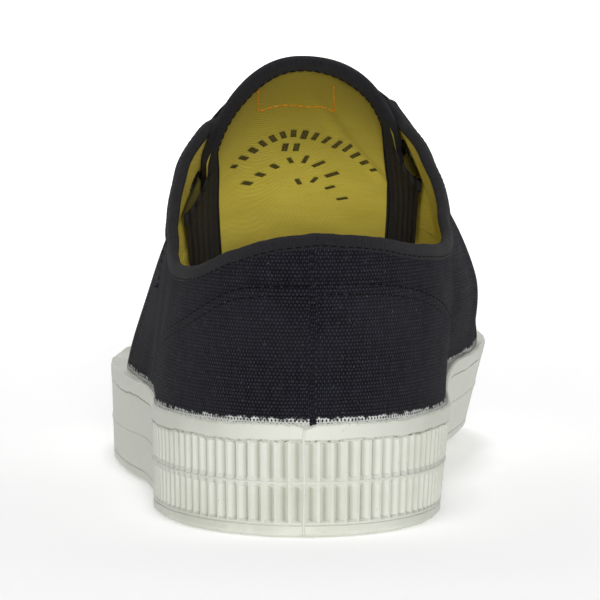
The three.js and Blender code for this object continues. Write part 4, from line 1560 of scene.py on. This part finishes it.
def make_eyelets():
    """Rolled rings, each in place of its plain node."""
    for side, row, x, at in eyelet_places():
        place = top_points(x, at, WALL)
        normal = upper_normal(x, at)
        first = unit(np.cross(normal, (0.0, 0.0, 1.0)))
        second = np.cross(normal, first)
        points = []
        for k in range(EYELET_TURNS):
            turn = 2 * math.pi * k / EYELET_TURNS
            ray = first * math.cos(turn) + second * math.sin(turn)
            points += [place + ray * radius + normal * height for radius, height in EYELET_SECTION]
        faces = grid_faces(EYELET_TURNS, len(EYELET_SECTION), closed_rows=True, closed_columns=True)
        number = f"{side_name(side)}_{row + 1}"
        close_ridge(make_piece(f"eyelet_ring_{number}", points, faces, EYELET, "eyelet",
                               (f"eyelet_{number}",)))


LACE_WIDTH = 6.6
LACE_HALF = 0.62                # half its thickness
LACE_LIFT = 1.3                 # its middle over the canvas, between the eyelets
LACE_OVER = 0.9                 # added where it crosses over another ...
LACE_UNDER = -0.4               # ... and under
LACE_DIVE = 2.6                 # how far it goes down into an eyelet, over this run:
LACE_DIVE_RUN = 3.2


def lace_strip(start, end, index):
    """One crossing: out of an eyelet, flat over the tongue, and into the eyelet on the other side."""
    steps = 40
    t = np.linspace(0, 1, steps)
    x = start[0] + (end[0] - start[0]) * t
    at = start[1] + (end[1] - start[1]) * t
    ends = np.minimum(t, 1 - t) * np.hypot(end[0] - start[0], end[1] - start[1])
    dive = smooth_step(1 - ends / LACE_DIVE_RUN)
    over = np.exp(-((t - 0.5) / 0.16) ** 2) * (LACE_OVER if index % 2 else LACE_UNDER)
    lift = LACE_LIFT + over - LACE_DIVE * dive
    normal = upper_normal(x, at)
    path = top_points(x, at, WALL) + normal * lift[:, None]
    path = smooth_path(path, 2)
    tangent = unit(np.gradient(path, axis=0))
    across = unit(np.cross(tangent, normal))
    lifted = unit(np.cross(across, tangent))
    width = LACE_WIDTH * (1 - 0.52 * smooth_step(1 - ends / 5.0))
    section = [(math.cos(turn), math.sin(turn)) for turn in np.linspace(0, 2 * math.pi, 17)[:-1]]
    rings = []
    for k in range(steps):
        ring = [path[k] + across[k] * math.copysign(abs(c) ** 0.6, c) * width[k] / 2
                + lifted[k] * s * LACE_HALF for c, s in section]
        rings.append(ring)
    points = np.array(rings)
    faces = grid_faces(steps, len(section), closed_columns=True) + end_caps(steps, len(section))
    cross = np.array([c for c, _ in section]) * LACE_WIDTH / 2
    return points.reshape(-1, 3), faces, flat_map(arc_lengths(path)[:, None], cross[None, :])


def make_laces():
    places = {(side, row): (x, at) for side, row, x, at in eyelet_places()}
    rows = len(EYELET_ROWS)
    strips = [(places[1, rows - 1], places[-1, rows - 1])]
    for row in range(rows - 2, -1, -1):
        strips.append((places[1, row], places[-1, row + 1]))
        strips.append((places[-1, row], places[1, row + 1]))
    built = [lace_strip(start, end, index) for index, (start, end) in enumerate(strips)]
    points, faces = merged([(strip_points, strip_faces) for strip_points, strip_faces, _ in built])
    make_piece("lace_crossings", points, faces, LACE, "lace", ("laces",),
               maps={"Cloth": np.concatenate([cloth for _, _, cloth in built])})


# ---------------------------------------------------------------- stage and light

STAGE_GLOW = 0.3                # lifts the floor towards white and keeps its shadows pale
STAGE_NEAR = 4.0                # metres along Y: the floor's near edge ...
STAGE_BEND = -2.5               # ... and where it starts to curve up
STAGE_ROUND = 1.5
STAGE_TOP = 6.0
STAGE_HALF = 6.0


def make_stage():
    """Pale floor that curves up into a backdrop far beyond the toe."""
    nodes = Nodes("stage", 0.9, specular=0.1)
    tone = nodes.noise(nodes.place(), 3.0, 2.0)
    colour = nodes.mix(nodes.ramp(tone, 0.3, 0.7), rgb(247, 247, 247), rgb(250, 250, 250))
    nodes.link(colour, nodes.shader.inputs["Base Color"])
    nodes.shader.inputs["Emission Color"].default_value = (1.0, 1.0, 1.0, 1.0)
    nodes.shader.inputs["Emission Strength"].default_value = STAGE_GLOW
    side_view = [(STAGE_NEAR, 0.0), (STAGE_BEND, 0.0)]
    side_view += [(STAGE_BEND - STAGE_ROUND * math.sin(turn), STAGE_ROUND * (1 - math.cos(turn)))
                  for turn in np.radians(np.arange(10, 91, 10))]
    side_view.append((STAGE_BEND - STAGE_ROUND, STAGE_TOP))
    points = [(x, y, z) for y, z in side_view for x in (-STAGE_HALF, STAGE_HALF)]
    mesh = bpy.data.meshes.new("stage")
    mesh.from_pydata(points, [], grid_faces(len(side_view), 2))
    mesh.polygons.foreach_set("use_smooth", np.ones(len(mesh.polygons), dtype=bool))
    mesh.materials.append(nodes.material)
    stage = bpy.data.objects.new("stage", mesh)
    bpy.context.scene.collection.objects.link(stage)


def area_light(name, place, aim, size, power):
    data = bpy.data.lights.new(name, "AREA")
    data.shape = "DISK"
    data.size = size
    data.energy = power
    light = bpy.data.objects.new(name, data)
    light.location = place
    light.visible_camera = False
    light.rotation_euler = (Vector(aim) - Vector(place)).to_track_quat("-Z", "Y").to_euler()
    bpy.context.scene.collection.objects.link(light)


# Each light: name, place and aim in metres, diameter, watts.
LIGHTS = (
    ("front", (-0.1, 2.3, 0.45), (0, 0.0, 0.07), 0.4, 28.0),
    ("left", (1.7, 0.9, 0.8), (0, 0.05, 0.05), 0.3, 0.45),
    ("right", (-1.7, 1.0, 0.7), (0, 0.05, 0.05), 0.5, 0.8),
    ("top", (0.0, 0.35, 1.8), (0, 0.06, 0.05), 0.5, 9.0),
    ("inside", (0.0, 0.005, 0.04), (0, -0.03, 0.08), 0.04, 0.0065),
    ("backdrop", (0.0, -1.6, 2.2), (0, -3.6, 0.6), 2.0, 60.0),
)
WORLD_STRENGTH = 0.14


def make_lights():
    for name, place, aim, size, power in LIGHTS:
        area_light(name, place, aim, size, power)
    world = bpy.data.worlds.new("world")
    world.use_nodes = True
    world.node_tree.nodes["Background"].inputs["Color"].default_value = (1, 1, 1, 1)
    world.node_tree.nodes["Background"].inputs["Strength"].default_value = WORLD_STRENGTH
    bpy.context.scene.world = world
    bpy.context.scene.view_settings.view_transform = "Standard"


make_stage()
make_lights()
make_upper()
make_binding()
make_counter()
make_counter_stitches()
make_back_seam()
make_quarter_stitches()
make_sole()
make_mould_line()
make_tongue()
make_tongue_marks()
make_gussets()
make_insole()
make_eyelets()
make_laces()
